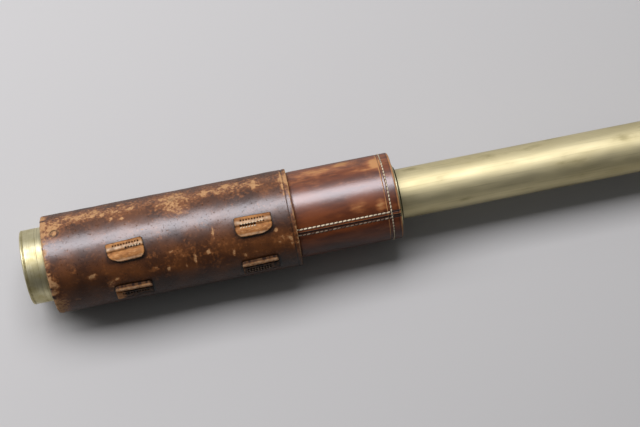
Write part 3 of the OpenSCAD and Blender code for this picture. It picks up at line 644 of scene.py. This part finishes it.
fine_from = CREASE_X - 2
along = [*np.arange(SHADE_X + FRONT_ROUND, fine_from, 0.85), *np.arange(fine_from, SHADE_END_X - 0.7, 0.25)]
outline = [(SHADE_X + 0.4, SHADE_BORE),
           *arc(SHADE_X + FRONT_ROUND, MEAN_R - FRONT_ROUND, FRONT_ROUND, 190, 95, 5),
           *[(x, MEAN_R) for x in along],
           *arc(SHADE_END_X - REAR_ROUND, MEAN_R - REAR_ROUND, REAR_ROUND, 85, 0, 4),
           (SHADE_END_X, SHADE_BORE)]
outline += [(x, SHADE_BORE) for x in np.arange(SHADE_END_X - 8, SHADE_X + 2, -8)]
shade = piece_from(spun(outline, ((360, 230),), edge=0), "sunshade_hide", "sunshade", "brown_leather",
                   brown_leather, "sunshade_leather")

# %% [markdown]
# Use has scraped the leather: scuffs down to the tan fibres, short scratches, a pressed ring, a ragged
# front edge and a crease at the back. The places are a list, as a restorer would note them, and noise
# gives their outlines. Every point is moved by broad waves, dents and pores, and the same step writes
# its wear and shine. That keeps the relief and the colours of a mark together.

# %% Wear the sunshade's leather
# Each scuff and dark patch: place along the axis, height, length, width round the tube, strength
SHADE_SCUFFS = [
    (21, 117, 13, 20, 0.62), (37, 137, 28, 14, 0.34), (57, 131, 36, 13, 0.32), (62, 115, 3.5, 2.5, 1),
    (45, 128, 2.5, 2, 0.9), (51, 128, 2.5, 2, 0.9), (61, 142, 2.5, 2, 0.9), (92, 130, 26, 24, 0.52),
    (130, 131, 46, 14, 0.34), (158, 123, 7, 26, 0.45), (40, 54, 5, 2.5, 0.8), (53, 44, 4, 2.5, 0.8),
    (83.5, 43.5, 2, 4, 0.9), (100, 50, 1.9, 8, 0.75), (108, 55, 3, 3, 0.9), (112.5, 73, 1.6, 8, 0.6),
    (87.5, 64, 6, 2, 0.6), (122.5, 48, 2.2, 4.5, 0.85), (129, 42, 3, 3, 0.8), (28, 25, 5, 3, 0.5),
    (152, 53, 13, 7, 0.5), (149, 65, 3, 2.5, 1), (17, 52, 8, 10, 0.45), (18, 18, 13, 26, 0.6),
    (30, 128, 20, 10, 0.2), (56, 118, 3, 3, 0.6), (68, 130, 4, 4, 0.6), (94, 44, 2, 4, 0.6),
    (94, 110, 16, 10, 0.35), (112, 131, 5, 10, 0.5), (124.5, 138, 4, 5, 0.7), (141, 128, 3, 14, 0.5),
    (39, 51, 6, 4, 0.6), (76, 48, 5, 5, 0.45), (74, 63, 8, 2, 0.35), (113, 78, 1.8, 6, 0.5),
    (135, 44, 5, 2, 0.4), (157, 50, 3, 11, 0.5), (49, 37, 5, 8, 0.45),
    (110, 60, 60, 14, 0.16), (120, -20, 40, 16, 0.35), (60, -35, 30, 10, 0.35), (90, 190, 50, 16, 0.35),
    (35, 215, 24, 12, 0.4), (140, 235, 30, 14, 0.35), (70, 262, 44, 10, 0.3)]
SHADE_DARK = [(32, 42, 40, 20, 0.5), (75, 30, 60, 14, 0.3), (140, 20, 40, 14, 0.35), (92, 131, 5, 4, 0.4)]
# Each scratch: place, height, length, slant. The dimple is a worn ring: its place, height and radius
SCRATCHES = [(113, 132, 7, 25), (124, 135, 9, -12), (132, 140, 8, 18), (142, 128, 9, -30), (52, 150, 9, 8),
             (75, 95, 10, -6), (136, 84, 12, 4), (70, 70, 6, 40), (100, 105, 8, -15)]
DIMPLE_X, DIMPLE_HEIGHT, DIMPLE_R = 22, 113, 2.3
# How far waves and dents move the leather, and how deep pores, scuffs, the crease and the dimple are
WAVES, DENTS, PORES = 0.2, 0.12, 0.03
SCUFF_DEPTH, CREASE_DEPTH, DIMPLE_DEPTH = 0.06, 0.25, 0.3


def patches(places, x, height, radius):
    """Sum of soft round patches, each given as place, height, length, width and strength."""
    total = np.zeros(len(x))
    for x0, height0, length, width, strength in places:
        round_mm = np.radians((height - height0 + 180) % 360 - 180) * radius
        total += strength * np.exp(-1.5 * ((2 * (x - x0) / length) ** 2 + (2 * round_mm / width) ** 2) ** 1.5)
    return total


def near_line(x, height, radius, x0, height0, length, angle):
    """1 along a short scratch, 0 away from it."""
    slope = math.radians(angle)
    dx, dy = x - x0, np.radians((height - height0 + 180) % 360 - 180) * radius
    run, off = dx * math.cos(slope) + dy * math.sin(slope), dy * math.cos(slope) - dx * math.sin(slope)
    return np.exp(-(2 * run / length) ** 4 - (off / 0.45) ** 2)


mesh = shade.data
x, r, height = polar(mesh)
outside = np.clip((r - SHADE_BORE) / (MEAN_R - SHADE_BORE), 0, 1)
broad, middle, pores = roughness(mesh, 30), roughness(mesh, 7, seed=4), roughness(mesh, 1.8, seed=9)
front = np.exp(-((x - SHADE_X) / 2.9) ** 2)
rear = np.exp(-np.maximum(SHADE_END_X - x, 0) / 0.9)
ragged = roughness(mesh, 2.6, (30, 1, 1), 6) + 0.6 * roughness(mesh, 1, (30, 1, 1), 7)
dimple = np.hypot(x - DIMPLE_X, np.radians(height - DIMPLE_HEIGHT) * MEAN_R)
scratch = sum(near_line(x, height, MEAN_R, *s) for s in SCRATCHES)
wear = patches(SHADE_SCUFFS, x, height, MEAN_R) + 0.55 * scratch
wear += 0.2 * bump_at(height, 135, 30) + 0.02 + 0.7 * front * (1 + 1.6 * ragged) + 0.95 * rear
wear += 0.2 * np.maximum(roughness(mesh, 11, seed=2), 0)
wear += 0.5 * bump_at(x, CREASE_X - 1.1, 0.7) * bump_at(height, 130, 50)
sunk = DENTS * middle + WAVES * broad + PORES * pores - SCUFF_DEPTH * np.clip(wear, 0, 1)
sunk -= CREASE_DEPTH * bump_at(x, CREASE_X, 0.6)
sunk -= DIMPLE_DEPTH * bump_at(dimple, 0, 2.4)
new_r = r + outside * (shade_r(height) - MEAN_R + sunk)
new_x = x + 0.8 * ragged * front * outside * (x < SHADE_X + 4) + 0.12 * ragged * rear
put_back(mesh, np.maximum(new_x, SHADE_X), new_r, height)
grime_and_shade = patches(SHADE_DARK, x, height, MEAN_R) + front * (0.12 + 0.9 * np.maximum(-ragged, 0))
grime_and_shade += 0.95 * bump_at(dimple, DIMPLE_R, 0.9)
# Painted darker along the crease.
grime_and_shade += 0.55 * bump_at(x, CREASE_X, 0.5)
mark(mesh, "wear", wear)
mark(mesh, "shine", polish(height))

# %% [markdown]
# ### Keeper tabs
# Four tabs are what is left of two strap loops. Each is sewn down on the side away from the seam, and
# its other side is the folded stub of the loop. A tab is a fine grid, laid round the tube: its outline
# narrows towards the stub, and its height follows the fold, the rows of stitch holes and the soft rim.
# A place on a tab is its run, along it from its middle, and its depth, across it from its sewn edge.
# The lower pair lies below the seam, and its sewn side is painted nearly black, as shade.

# %% Helpers for the keeper tabs
TAB_L, TAB_W, TAB_ROUND = 22, 11.6, 1.2
# Thickness where a tab is sewn, and how far its underside is let into the leather
SEWN_THICK, LET_IN = 1.15, 0.4
# How deep the fold, the stitch holes and the worn edge are, and how wide that edge is
FOLD_DEPTH, HOLE_DEPTH, EDGE_DEPTH, EDGE_WIDTH = 0.4, 0.7, 0.55, 0.9
HOLE_PITCH = 1.65
SEAM_HEIGHT = 52
UPPER_TABS, LOWER_TABS = SEAM_HEIGHT + 23.5, SEAM_HEIGHT - 30


def corner(depth, reach, radius):
    """How much a rounded corner takes off a tab's length, at a depth from its edge. The corner is a
    quarter of an ellipse: it reaches so far along the edge and so far down the end."""
    inner = np.clip(1 - depth / radius, 0, 1)
    return reach * (1 - np.sqrt(1 - inner ** 2))


def holes_at(run, depth, rows):
    """1 in a stitch hole and 0 between them. Each row: its depth, first and last hole, a hole's size."""
    total = 0
    for row, first, last, size in rows:
        nearest = first + round((run - first) / HOLE_PITCH) * HOLE_PITCH
        if first - 0.1 < nearest < last + 0.1:
            total += math.exp(-(math.hypot(run - nearest, depth - row) / size) ** 4)
    return total


def thickness(seed, depth, fold_at, stub):
    """Thickness of a tab at a depth, with its waves: flat where it is sewn, bulging at its stub."""
    wave = 0.14 * noise.noise(seed * 0.35) + 0.07 * noise.noise(seed * 1.4)
    rise = math.pi * min((depth - fold_at) / 1.2 / (TAB_W - fold_at), 0.62)
    return wave + (SEWN_THICK if depth < fold_at else 1.0 + (stub - 1.0) * math.sin(rise))


# %% Shape the keeper tabs


def keeper(name, tilt, left, right, stub, fold_at, rows, sewn_shade=0, sewn_shade_from=0):
    """One keeper tab: its tilt, the reach and radius of the stub's corners, the stub's height, where it
    folds, its rows of holes, how much shade is painted on its sewn side, and the run from which that
    painted shade starts."""
    low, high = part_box("keeper_tab_" + name)
    x0 = ((low + high) / 2 / MM).x
    above = name.endswith("upper")
    middle_height = UPPER_TABS if above else LOWER_TABS
    slope = math.radians(tilt)
    bm = bmesh.new()
    layer = bm.verts.layers.float.new("grime_and_shade")
    paler = bm.verts.layers.float.new("wear")
    bmesh.ops.create_grid(bm, x_segments=96, y_segments=50, size=1)
    top = bmesh.ops.extrude_face_region(bm, geom=list(bm.faces))["geom"]
    top = {v for v in top if isinstance(v, bmesh.types.BMVert)}
    for v in bm.verts:
        across, depth = v.co.y * TAB_W / 2, (1 - v.co.y) * TAB_W / 2
        rest = TAB_W - depth
        start = -TAB_L / 2 + max(corner(rest, *left), corner(depth, TAB_ROUND, TAB_ROUND))
        end = TAB_L / 2 - max(corner(rest, *right), corner(depth, TAB_ROUND, TAB_ROUND))
        share = (v.co.x + 1) / 2
        run = start + (end - start) * share
        seed = Vector((x0 + run, middle_height, depth))
        fold = math.exp(-((depth - fold_at) / 0.5) ** 2)
        holes = holes_at(run, depth, rows)
        soft = max(0, 1 - min(depth, rest, run - start + 0.001, end - run + 0.001) / EDGE_WIDTH)
        thick = thickness(seed, depth, fold_at, stub) - FOLD_DEPTH * fold
        thick -= HOLE_DEPTH * min(holes, 1)
        thick -= EDGE_DEPTH * soft ** 2
        # Painted shade on the sewn side of the lower tabs.
        shade = sewn_shade * (depth < fold_at + 0.3) * min(max((run - sewn_shade_from) / 2.5, 0), 1)
        stain = 0.5 * max(0, noise.noise(seed * 0.5) + 0.1)
        # The stitch holes, the fold and the worn edges are painted darker as well, and stains are added.
        v[layer] = min(1, 0.9 * holes + 0.38 * fold + 0.85 * soft ** 2 + shade + stain)
        pale = 0.75 * math.exp(-((depth - 3.3) / 0.9) ** 2) * (1 - sewn_shade)
        pale += 0.4 * math.exp(-((rest - 1.1) / 0.7) ** 2)
        edge = 0.5 * sewn_shade * math.exp(-((depth - 0.5) / 0.3) ** 2)
        v[paler] = pale * (1 + 0.8 * noise.noise(seed * 0.7)) + edge
        around = across * math.cos(slope) + run * math.sin(slope)
        angle = middle_height + (1 if above else -1) * math.degrees(around / SHADE_R)
        radius = shade_r(angle) + (thick if v in top else -LET_IN)
        angle = math.radians(angle)
        along_x = run * math.cos(slope) - across * math.sin(slope)
        v.co = Vector((x0 + along_x, -radius * math.cos(angle), radius * math.sin(angle))) * MM
    bmesh.ops.recalc_face_normals(bm, faces=bm.faces)
    piece_from(bm, name + "_keeper", "sunshade", "tan_leather", tan_leather, "keeper_tab_" + name)
    return x0, middle_height


TABS = {
    "front_upper": {"tilt": 2.5, "left": (11, 5.8), "right": (4.5, 4), "stub": 2.3, "fold_at": 5.2,
                    "rows": ((2.1, -6.6, 8.9, 0.45), (4.4, 0.6, 8.9, 0.6))},
    "rear_upper": {"tilt": -1, "left": (4.5, 5), "right": (12, 4.5), "stub": 2.1, "fold_at": 5.4,
                   "rows": ((2.2, -6.9, 6.4, 0.48), (5.1, -7.4, 2, 0.68), (4.4, 3, 6.4, 0.4))},
    "front_lower": {"tilt": 1, "left": (2, 2), "right": (2, 2), "stub": 2.2, "fold_at": 7.8,
                    "rows": ((5.4, -7, 8, 0.5),), "sewn_shade": 0.85, "sewn_shade_from": -7.5},
    "rear_lower": {"tilt": -1, "left": (2, 2), "right": (2, 2), "stub": 2.2, "fold_at": 7.8,
                   "rows": ((5.2, -8, 6, 0.5), (3.2, -8, 6, 0.5)), "sewn_shade": 0.85, "sewn_shade_from": -12}}
tab_places = {name: keeper(name, **facts) for name, facts in TABS.items()}

# %% [markdown]
# A shadow is painted on the leather round each tab, and shade towards the underside. That leather is
# darkened now, when the places of the tabs are known.

# %% Darken the leather round the tabs
# Painted shadow round each tab.
for x0, height0 in tab_places.values():
    run = np.maximum(np.abs(x - x0) - TAB_L / 2 + 2, 0)
    side = np.maximum(np.abs(np.radians(height - height0) * MEAN_R) - TAB_W / 2 + 2, 0)
    grime_and_shade += 0.6 * bump_at(np.hypot(run, side), 2.2, 1.4)
# Painted shade towards the underside, lighter near the front rim.
grime_and_shade += underside_shade(height) * (1 + 0.25 * middle + 0.35 * broad) * (1 - 0.75 * bump_at(x, SHADE_X, 14))
mark(mesh, "grime_and_shade", grime_and_shade * (outside > 0.5))

# %% [markdown]
# ### Body leather
# The body's leather is one sheet, lapped along a seam and sewn twice, and turned in at the rear hem
# with a third line of stitches. It is spun like the sunshade's, with narrow steps near the seam and
# the hem and wide ones elsewhere, which gives the channels of the stitches enough points and keeps the
# mesh small.

# %% Shape the body's leather
BODY_BORE, HEM_BORE, HEM_TURN = 22.82, 21.6, 0.8
WORN = 0.3
FULL_X = SHADE_END_X + 0.8
ROW_OFFSET = 1.95
HEM_X = HIDE_END_X - 5.6
RIM = 1.2
# Each stretch along the leather: its ends and its step
STRETCHES = ((HIDE_X + 0.5, 70, 3), (70, FULL_X - 2, 1.2), (FULL_X - 2, HEM_X - 3, 0.75),
             (HEM_X - 3, HIDE_END_X - RIM - 0.1, 0.22))
along = np.concatenate([np.arange(*stretch) for stretch in STRETCHES])
outline = [(HIDE_X, BODY_BORE), (HIDE_X, HIDE_R - 0.4), *[(x, HIDE_R) for x in along],
           *arc(HIDE_END_X - RIM, HIDE_R - RIM, RIM, 88, 0, 7), (HIDE_END_X, HEM_BORE),
           (HIDE_END_X - HEM_TURN, HEM_BORE), (HIDE_END_X - HEM_TURN, BODY_BORE)]
outline += [(x, BODY_BORE) for x in np.arange(HIDE_END_X - 10, HIDE_X + 3, -10)]
SEAM_HALF = 9
turns = ((SEAM_HEIGHT - SEAM_HALF, 22), (2 * SEAM_HALF, 42), (360 - SEAM_HEIGHT - SEAM_HALF, 150))
body = piece_from(spun(outline, turns, edge=0), "body_hide", "barrel", "chestnut_leather", chestnut_leather,
                  "body_leather")

# %% [markdown]
# Each line of stitches lies in a channel that was cut first, so that the thread doesn't rub through,
# and the lap stands a little above the leather beside it. Under the sunshade the guides have worn the
# leather lower. All of this is a depth that depends on the place, so it is worked out as a number for
# every point, which is simpler here than cutting with other meshes.

# %% Wear the body's leather
BODY_SCUFFS = [
    (213.5, 131, 9, 12, 0.75), (198.5, 73, 12, 8, 0.5), (212, 69, 8, 8, 0.6), (195, 148, 14, 9, 0.45),
    (182, 140, 34, 10, 0.25), (205, 122, 16, 5, 0.3), (190, -30, 40, 12, 0.4), (205, 210, 30, 14, 0.45),
    (180, 250, 40, 12, 0.4), (120, 100, 70, 30, 0.2)]
# Depth of the seam's channels, the lap, the hem's channel and the line where the hem is folded
CHANNEL, LAP_STEP, HEM_CHANNEL, HEM_FOLD = 0.28, 0.3, 0.25, 0.16
mesh = body.data
x, r, height = polar(mesh)
outside = r > HIDE_R - 1.5
seam = np.radians(height - SEAM_HEIGHT) * HIDE_R
under = 1 / (1 + np.exp((x - FULL_X) / 0.15))
rows = sum(np.exp(-((seam - s) / 0.5) ** 4) for s in (-ROW_OFFSET, ROW_OFFSET))
lap = np.where(seam < 0, np.exp(np.minimum(seam, 0) / 3), 0)
hem = np.exp(-((x - HEM_X) / 0.5) ** 4)
fold_line = bump_at(x, HEM_X - 1.7, 0.5)
rim = bump_at(x, HIDE_END_X, 0.9)
wave = roughness(mesh, 24, (1.5, 1, 1), 3)
pores = roughness(mesh, 2, (2, 1, 1), 8)
drop = CHANNEL * rows * (1 - hem) + LAP_STEP * lap + HEM_CHANNEL * hem + HEM_FOLD * fold_line + WORN * under
new_r = r + outside * ((0.08 * wave + 0.015 * pores) * (1 - 0.7 * under) - 0.05 - drop)
put_back(mesh, x, new_r, height)
wear = patches(BODY_SCUFFS, x, height, HIDE_R) + 0.22 * bump_at(height, 138, 34) + 0.04
streaks = np.maximum(roughness(mesh, 9, (3, 1, 1), 5), 0)
wear += 0.3 * streaks + 0.7 * rim + 0.75 * bump_at(x, HEM_X - 2.2, 0.5)
wear += 0.7 * bump_at(x, HIDE_END_X - 0.7, 0.6)
wear += 0.5 * bump_at(seam, 0.45, 0.4)
mark(mesh, "wear", wear * outside)
mark(mesh, "shine", polish(height))
# Darker in the stitch channels, along the hem and its fold; painted shadow below the lap's edge.
grime_and_shade = 0.85 * rows + 0.7 * hem + 0.9 * bump_at(seam, -0.35, 0.6) + 0.6 * fold_line
# Painted shade, darker towards the underside.
grime_and_shade += underside_shade(height) * (1 + wave)
# More painted shadow below the lap's edge, and a darker band inside the rim.
grime_and_shade += 0.5 * np.exp(-((seam + 1) / 0.9) ** 4) + 0.5 * bump_at(x, HIDE_END_X - 1.6, 0.6)
mark(mesh, "grime_and_shade", grime_and_shade * outside)

# %% [markdown]
# ### Stitches
# A saddle stitch lies a little askew in its channel. Each is a ball of a few dozen faces, drawn out
# and blunted at its ends, and only the half of the thread that shows is made. An array of one stitch
# would be less work, but then they would all be equally clean, and here each is darkened on its own,
# by dirt and painted shade.

# %% Helper for stitches
# Length and thickness of a stitch
SEAM_THREAD, HEM_THREAD, TAB_THREAD = (2.35, 1.05), (1.9, 0.9), (1.25, 0.7)
# How far a stitch is turned from the axis, in degrees, and how deep it lies
SEAM_TURN, HEM_SLANT, TAB_TURN, LIES_IN = 7, 84, 15, 0.2


def sew(name, places, thread_size, body_name="barrel"):
    """A row of stitches. Each place: along the axis, radius, height, turn in degrees, and how much
    darker it is, by stains and painted shade.
    """
    bm = bmesh.new()
    layer = bm.verts.layers.float.new("grime_and_shade")
    length, width = thread_size
    size = Matrix.Diagonal((length / 2 * MM, width / 2 * MM, width / 2 * MM, 1))
    for x0, radius, height0, turn, grimed_and_shaded in places:
        a, t = math.radians(height0), math.radians(turn)
        out = Vector((0, -math.cos(a), math.sin(a)))
        side = Vector((0, math.sin(a), math.cos(a)))
        run = Vector((math.cos(t), 0, 0)) + side * math.sin(t)
        cross = out.cross(run)
        frame_of = Matrix((run, cross, out)).transposed().to_4x4()
        where = Matrix.Translation((Vector((x0, 0, 0)) + out * radius) * MM)
        made = bmesh.ops.create_uvsphere(bm, u_segments=8, v_segments=6, radius=1)["verts"]
        for v in made:
            v[layer] = grimed_and_shaded
            blunt = max(math.hypot(v.co.y, v.co.z), 0.01) ** -0.35
            v.co = (math.copysign(abs(v.co.x) ** 0.65, v.co.x), v.co.y * blunt, v.co.z * blunt)
        bmesh.ops.transform(bm, matrix=where @ frame_of @ size, verts=made)
    return piece_from(bm, name, body_name, "linen_thread", thread)


# %% [markdown]
# The tabs were sewn with shorter stitches. Most of that thread is gone, and a few stitches are left.

# %% Sew what is left in the tabs
# Each row: tab, depth, first stitch, how many, radius above the leather, darkening by dirt and painted shade
TAB_STITCHES = (("front_upper", 3.9, 3.1, 4, 1.0, 0.3), ("rear_upper", 4.2, -6.6, 6, 1.1, 0.1),
                ("rear_upper", 4.0, 3.8, 2, 1.1, 0), ("rear_upper", 6.2, -7.4, 6, 1.25, 0.05),
                ("rear_lower", 4.3, -7.2, 8, 0.9, 0.75), ("rear_lower", 2.4, -7.2, 8, 0.9, 0.75))
stitches = []
for name, depth, first, count, above_leather, grimed_and_shaded in TAB_STITCHES:
    x0, height0 = tab_places[name]
    side = 1 if name.endswith("upper") else -1
    h = height0 + side * math.degrees((TAB_W / 2 - depth) / SHADE_R)
    for i in range(count):
        stitches.append((x0 + first + i * HOLE_PITCH, shade_r(h) + above_leather, h, TAB_TURN, grimed_and_shaded))
sew("tab_thread", stitches, TAB_THREAD, "sunshade")

# %% [markdown]
# Two rows hold down the lap, half a stitch apart. The upper row is fairly clean, and the lower one lies
# in the dirt of the lap and is painted darker, as shade under its edge. Both run on under the sunshade,
# where the leather is worn lower.

# %% Sew the seam
SEAM_PITCH = 2.6
row_turn = math.degrees(ROW_OFFSET / HIDE_R)
upper_row, lower_row = [], []
for i in range(int((HEM_X - 1.5 - HIDE_X - 3) / SEAM_PITCH)):
    place = HEM_X - 2 - i * SEAM_PITCH
    depth = HIDE_R - LIES_IN - (WORN if place < FULL_X + 1 else 0)
    shift = 0.12 * noise.noise(Vector((place, 7, 0)))
    faded = 0.35 if place > HEM_X - 12 else 0.05 + 0.2 * abs(noise.noise(Vector((place * 0.3, 1, 0))))
    grimed_and_shaded = 0.85 + 0.4 * noise.noise(Vector((place * 0.5, 5, 0)))
    upper_row.append((place, depth, SEAM_HEIGHT + row_turn + shift, SEAM_TURN, faded))
    lower_row.append((place + SEAM_PITCH / 2, depth - 0.25, SEAM_HEIGHT - row_turn + shift, SEAM_TURN, grimed_and_shaded))
sew("seam_thread_upper", upper_row, SEAM_THREAD)
sew("seam_thread_lower", lower_row, SEAM_THREAD)

# %% [markdown]
# The hem's row runs round the tube. Its stitches are counted first and then spread evenly, so that the
# last one meets the first.

# %% Sew the hem
HEM_PITCH = 2.2
# The hem's stitches are lighter between these heights, where hands rub them; elsewhere they are darker, by
# dirt and painted shade
LIGHTER_FROM, LIGHTER_TO = 55, 128
count = round(2 * math.pi * HIDE_R / HEM_PITCH)
stitches = []
for i in range(count):
    h = SEAM_HEIGHT + 1.5 + i * 360 / count
    grimed_and_shaded = 0.15 if LIGHTER_FROM < h % 360 < LIGHTER_TO else 0.5
    grimed_and_shaded += 0.15 * noise.noise(Vector((i * 0.7, 3, 0)))
    stitches.append((HEM_X, HIDE_R - LIES_IN, h, HEM_SLANT, grimed_and_shaded))
sew("hem_thread", stitches, HEM_THREAD)

# %% [markdown]
# ## Shutter
# A thin plate swings over the eye hole. It is two discs and what lies between them, which is the convex
# hull of both. The discs give only their points to the hull, because faces that were left would lie
# inside it. A fine bevel then takes off its edges, as a file does.

# %% Cut the shutter
# Distance of the pivot from the axis, radii of the plate's ends, and the angle to which it stands open
PIVOT_R, LOBE_R, BLADE_R, OPEN = 6.8, 2.6, 4.5, 74
shutter_x, shutter_end_x, _ = reach("eye_shutter")
middle_x = (shutter_x + shutter_end_x) / 2
on_shutter = Matrix.Translation((0, -PIVOT_R * MM, 0)) @ Matrix.Rotation(math.radians(-OPEN), 4, "X")
bm = bmesh.new()
for across, radius in ((0, LOBE_R), (PIVOT_R, BLADE_R)):
    upright = Matrix.Translation((middle_x * MM, across * MM, 0)) @ Matrix.Rotation(math.pi / 2, 4, "Y")
    bmesh.ops.create_cone(bm, segments=72, radius1=radius * MM, radius2=radius * MM,
                          depth=(shutter_end_x - shutter_x) * MM, matrix=upright)
bmesh.ops.delete(bm, geom=[*bm.edges, *bm.faces], context="EDGES_FACES")
bmesh.ops.convex_hull(bm, input=bm.verts)
loose = [v for v in bm.verts if not v.link_faces]
bmesh.ops.delete(bm, geom=loose, context="VERTS")
bmesh.ops.dissolve_limit(bm, angle_limit=0.01, verts=bm.verts, edges=bm.edges)
bmesh.ops.bevel(bm, geom=[e for e in bm.edges if e.calc_face_angle(0) > SHARP], offset=0.12 * MM, segments=2,
                profile=0.5, material=-1, affect="EDGES")
bmesh.ops.transform(bm, matrix=on_shutter, verts=bm.verts)
piece_from(bm, "eye_shutter_plate", "shutter", "satin_brass", turned_brass, "eye_shutter")

# %% [markdown]
# ## Finishes of the pieces that stay
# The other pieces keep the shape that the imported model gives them, because most of them are inside or
# small, and their shape is right. They get their finish by the slot that the record names for them.

# %% Dress the other nodes
finish_of = {"satin_brass": turned_brass, "dull_brass": dull_brass, "blackened_brass": black_brass,
             "lens_glass": lens_glass, "felt": felt, "brown_leather": brown_leather,
             "chestnut_leather": chestnut_leather, "tan_leather": tan_leather}
slot_of = {part["node"]: part["material_slot"] for part in frame["record"]["subparts"]}
for name, node in frame["nodes"].items():
    for slot in node.material_slots:
        slot.material = finish_of[slot_of[name]]
print("dressed", len(frame["nodes"]), "nodes")

# %% [markdown]
# ## Stage
# A plain pale floor lies just under the sunshade. It is one large square, far larger than the picture,
# so that its edges never show.

# %% Lay the floor
FLOOR_GAP = 0.06
FLOOR_Z = -SHADE_R - FLOOR_GAP
floor_mesh = bpy.data.meshes.new("floor")
bm = bmesh.new()
bmesh.ops.create_grid(bm, x_segments=1, y_segments=1, size=30)
bm.to_mesh(floor_mesh)
bm.free()
floor_mesh.transform(Matrix.Translation((0, 0, FLOOR_Z * MM)))
floor = bpy.data.objects.new("floor", floor_mesh)
scene.collection.objects.link(floor)
floor_finish, tree, shader, _ = start("paper, pale, matt")
plug(tree, shader, {"Base Color": "#c4c2bd", "Roughness": 0.9})
floor_mesh.materials.append(floor_finish)
print("floor at", FLOOR_Z, "mm")

# %% [markdown]
# Old wax shows its shape by what it mirrors. One long, soft lamp hangs above the telescope and a little
# behind it, and mirrors as a band along the leather. A small lamp would give a hard line instead.

# %% Hang the lamp
LAMP_X, LAMP_HEIGHT, LAMP_DISTANCE = -440, 115, 1300
LAMP_SIZE, LAMP_WATTS = (1900, 640), 28
lamp_data = bpy.data.lights.new("soft lamp", "AREA")
lamp_data.shape = "RECTANGLE"
lamp_data.size, lamp_data.size_y = (side * MM for side in LAMP_SIZE)
lamp_data.energy = LAMP_WATTS
lamp_data.color = colour("#f6f6ff")[:3]
lamp = bpy.data.objects.new("soft lamp", lamp_data)
scene.collection.objects.link(lamp)
angle = math.radians(LAMP_HEIGHT)
out = Vector((0, -math.cos(angle), math.sin(angle)))
hung = Matrix.Translation(Vector((LAMP_X * MM, 0, 0)) + out * LAMP_DISTANCE * MM)
lamp.matrix_world = hung @ Matrix.Rotation(-math.atan2(out.y, out.z), 4, "X")
print("lamp of", LAMP_WATTS, "watts")

# %% [markdown]
# The world fills the shadows. It glows faintly behind the telescope and is nearly dark in front of it,
# so that the near side keeps its depth. An evenly lit world would flatten the leather.

# %% Let the world glow
GLOW_TOWARDS = (0, 0.77, 0.64)
world = bpy.data.worlds.new("sky")
scene.world = world
world.use_nodes = True
tree = world.node_tree
way = add(tree, "TexCoord").outputs["Generated"]
facing = add(tree, "VectorMath", (way, GLOW_TOWARDS), operation="DOT_PRODUCT").outputs["Value"]
glow = add(tree, "MapRange", (facing, 0, 0.95, 0.05, 0.36), **SMOOTH)
plug(tree, tree.nodes["Background"], {"Color": "#e6e8ec", "Strength": glow})
scene.view_settings.view_transform = "Standard"
print("world ready")
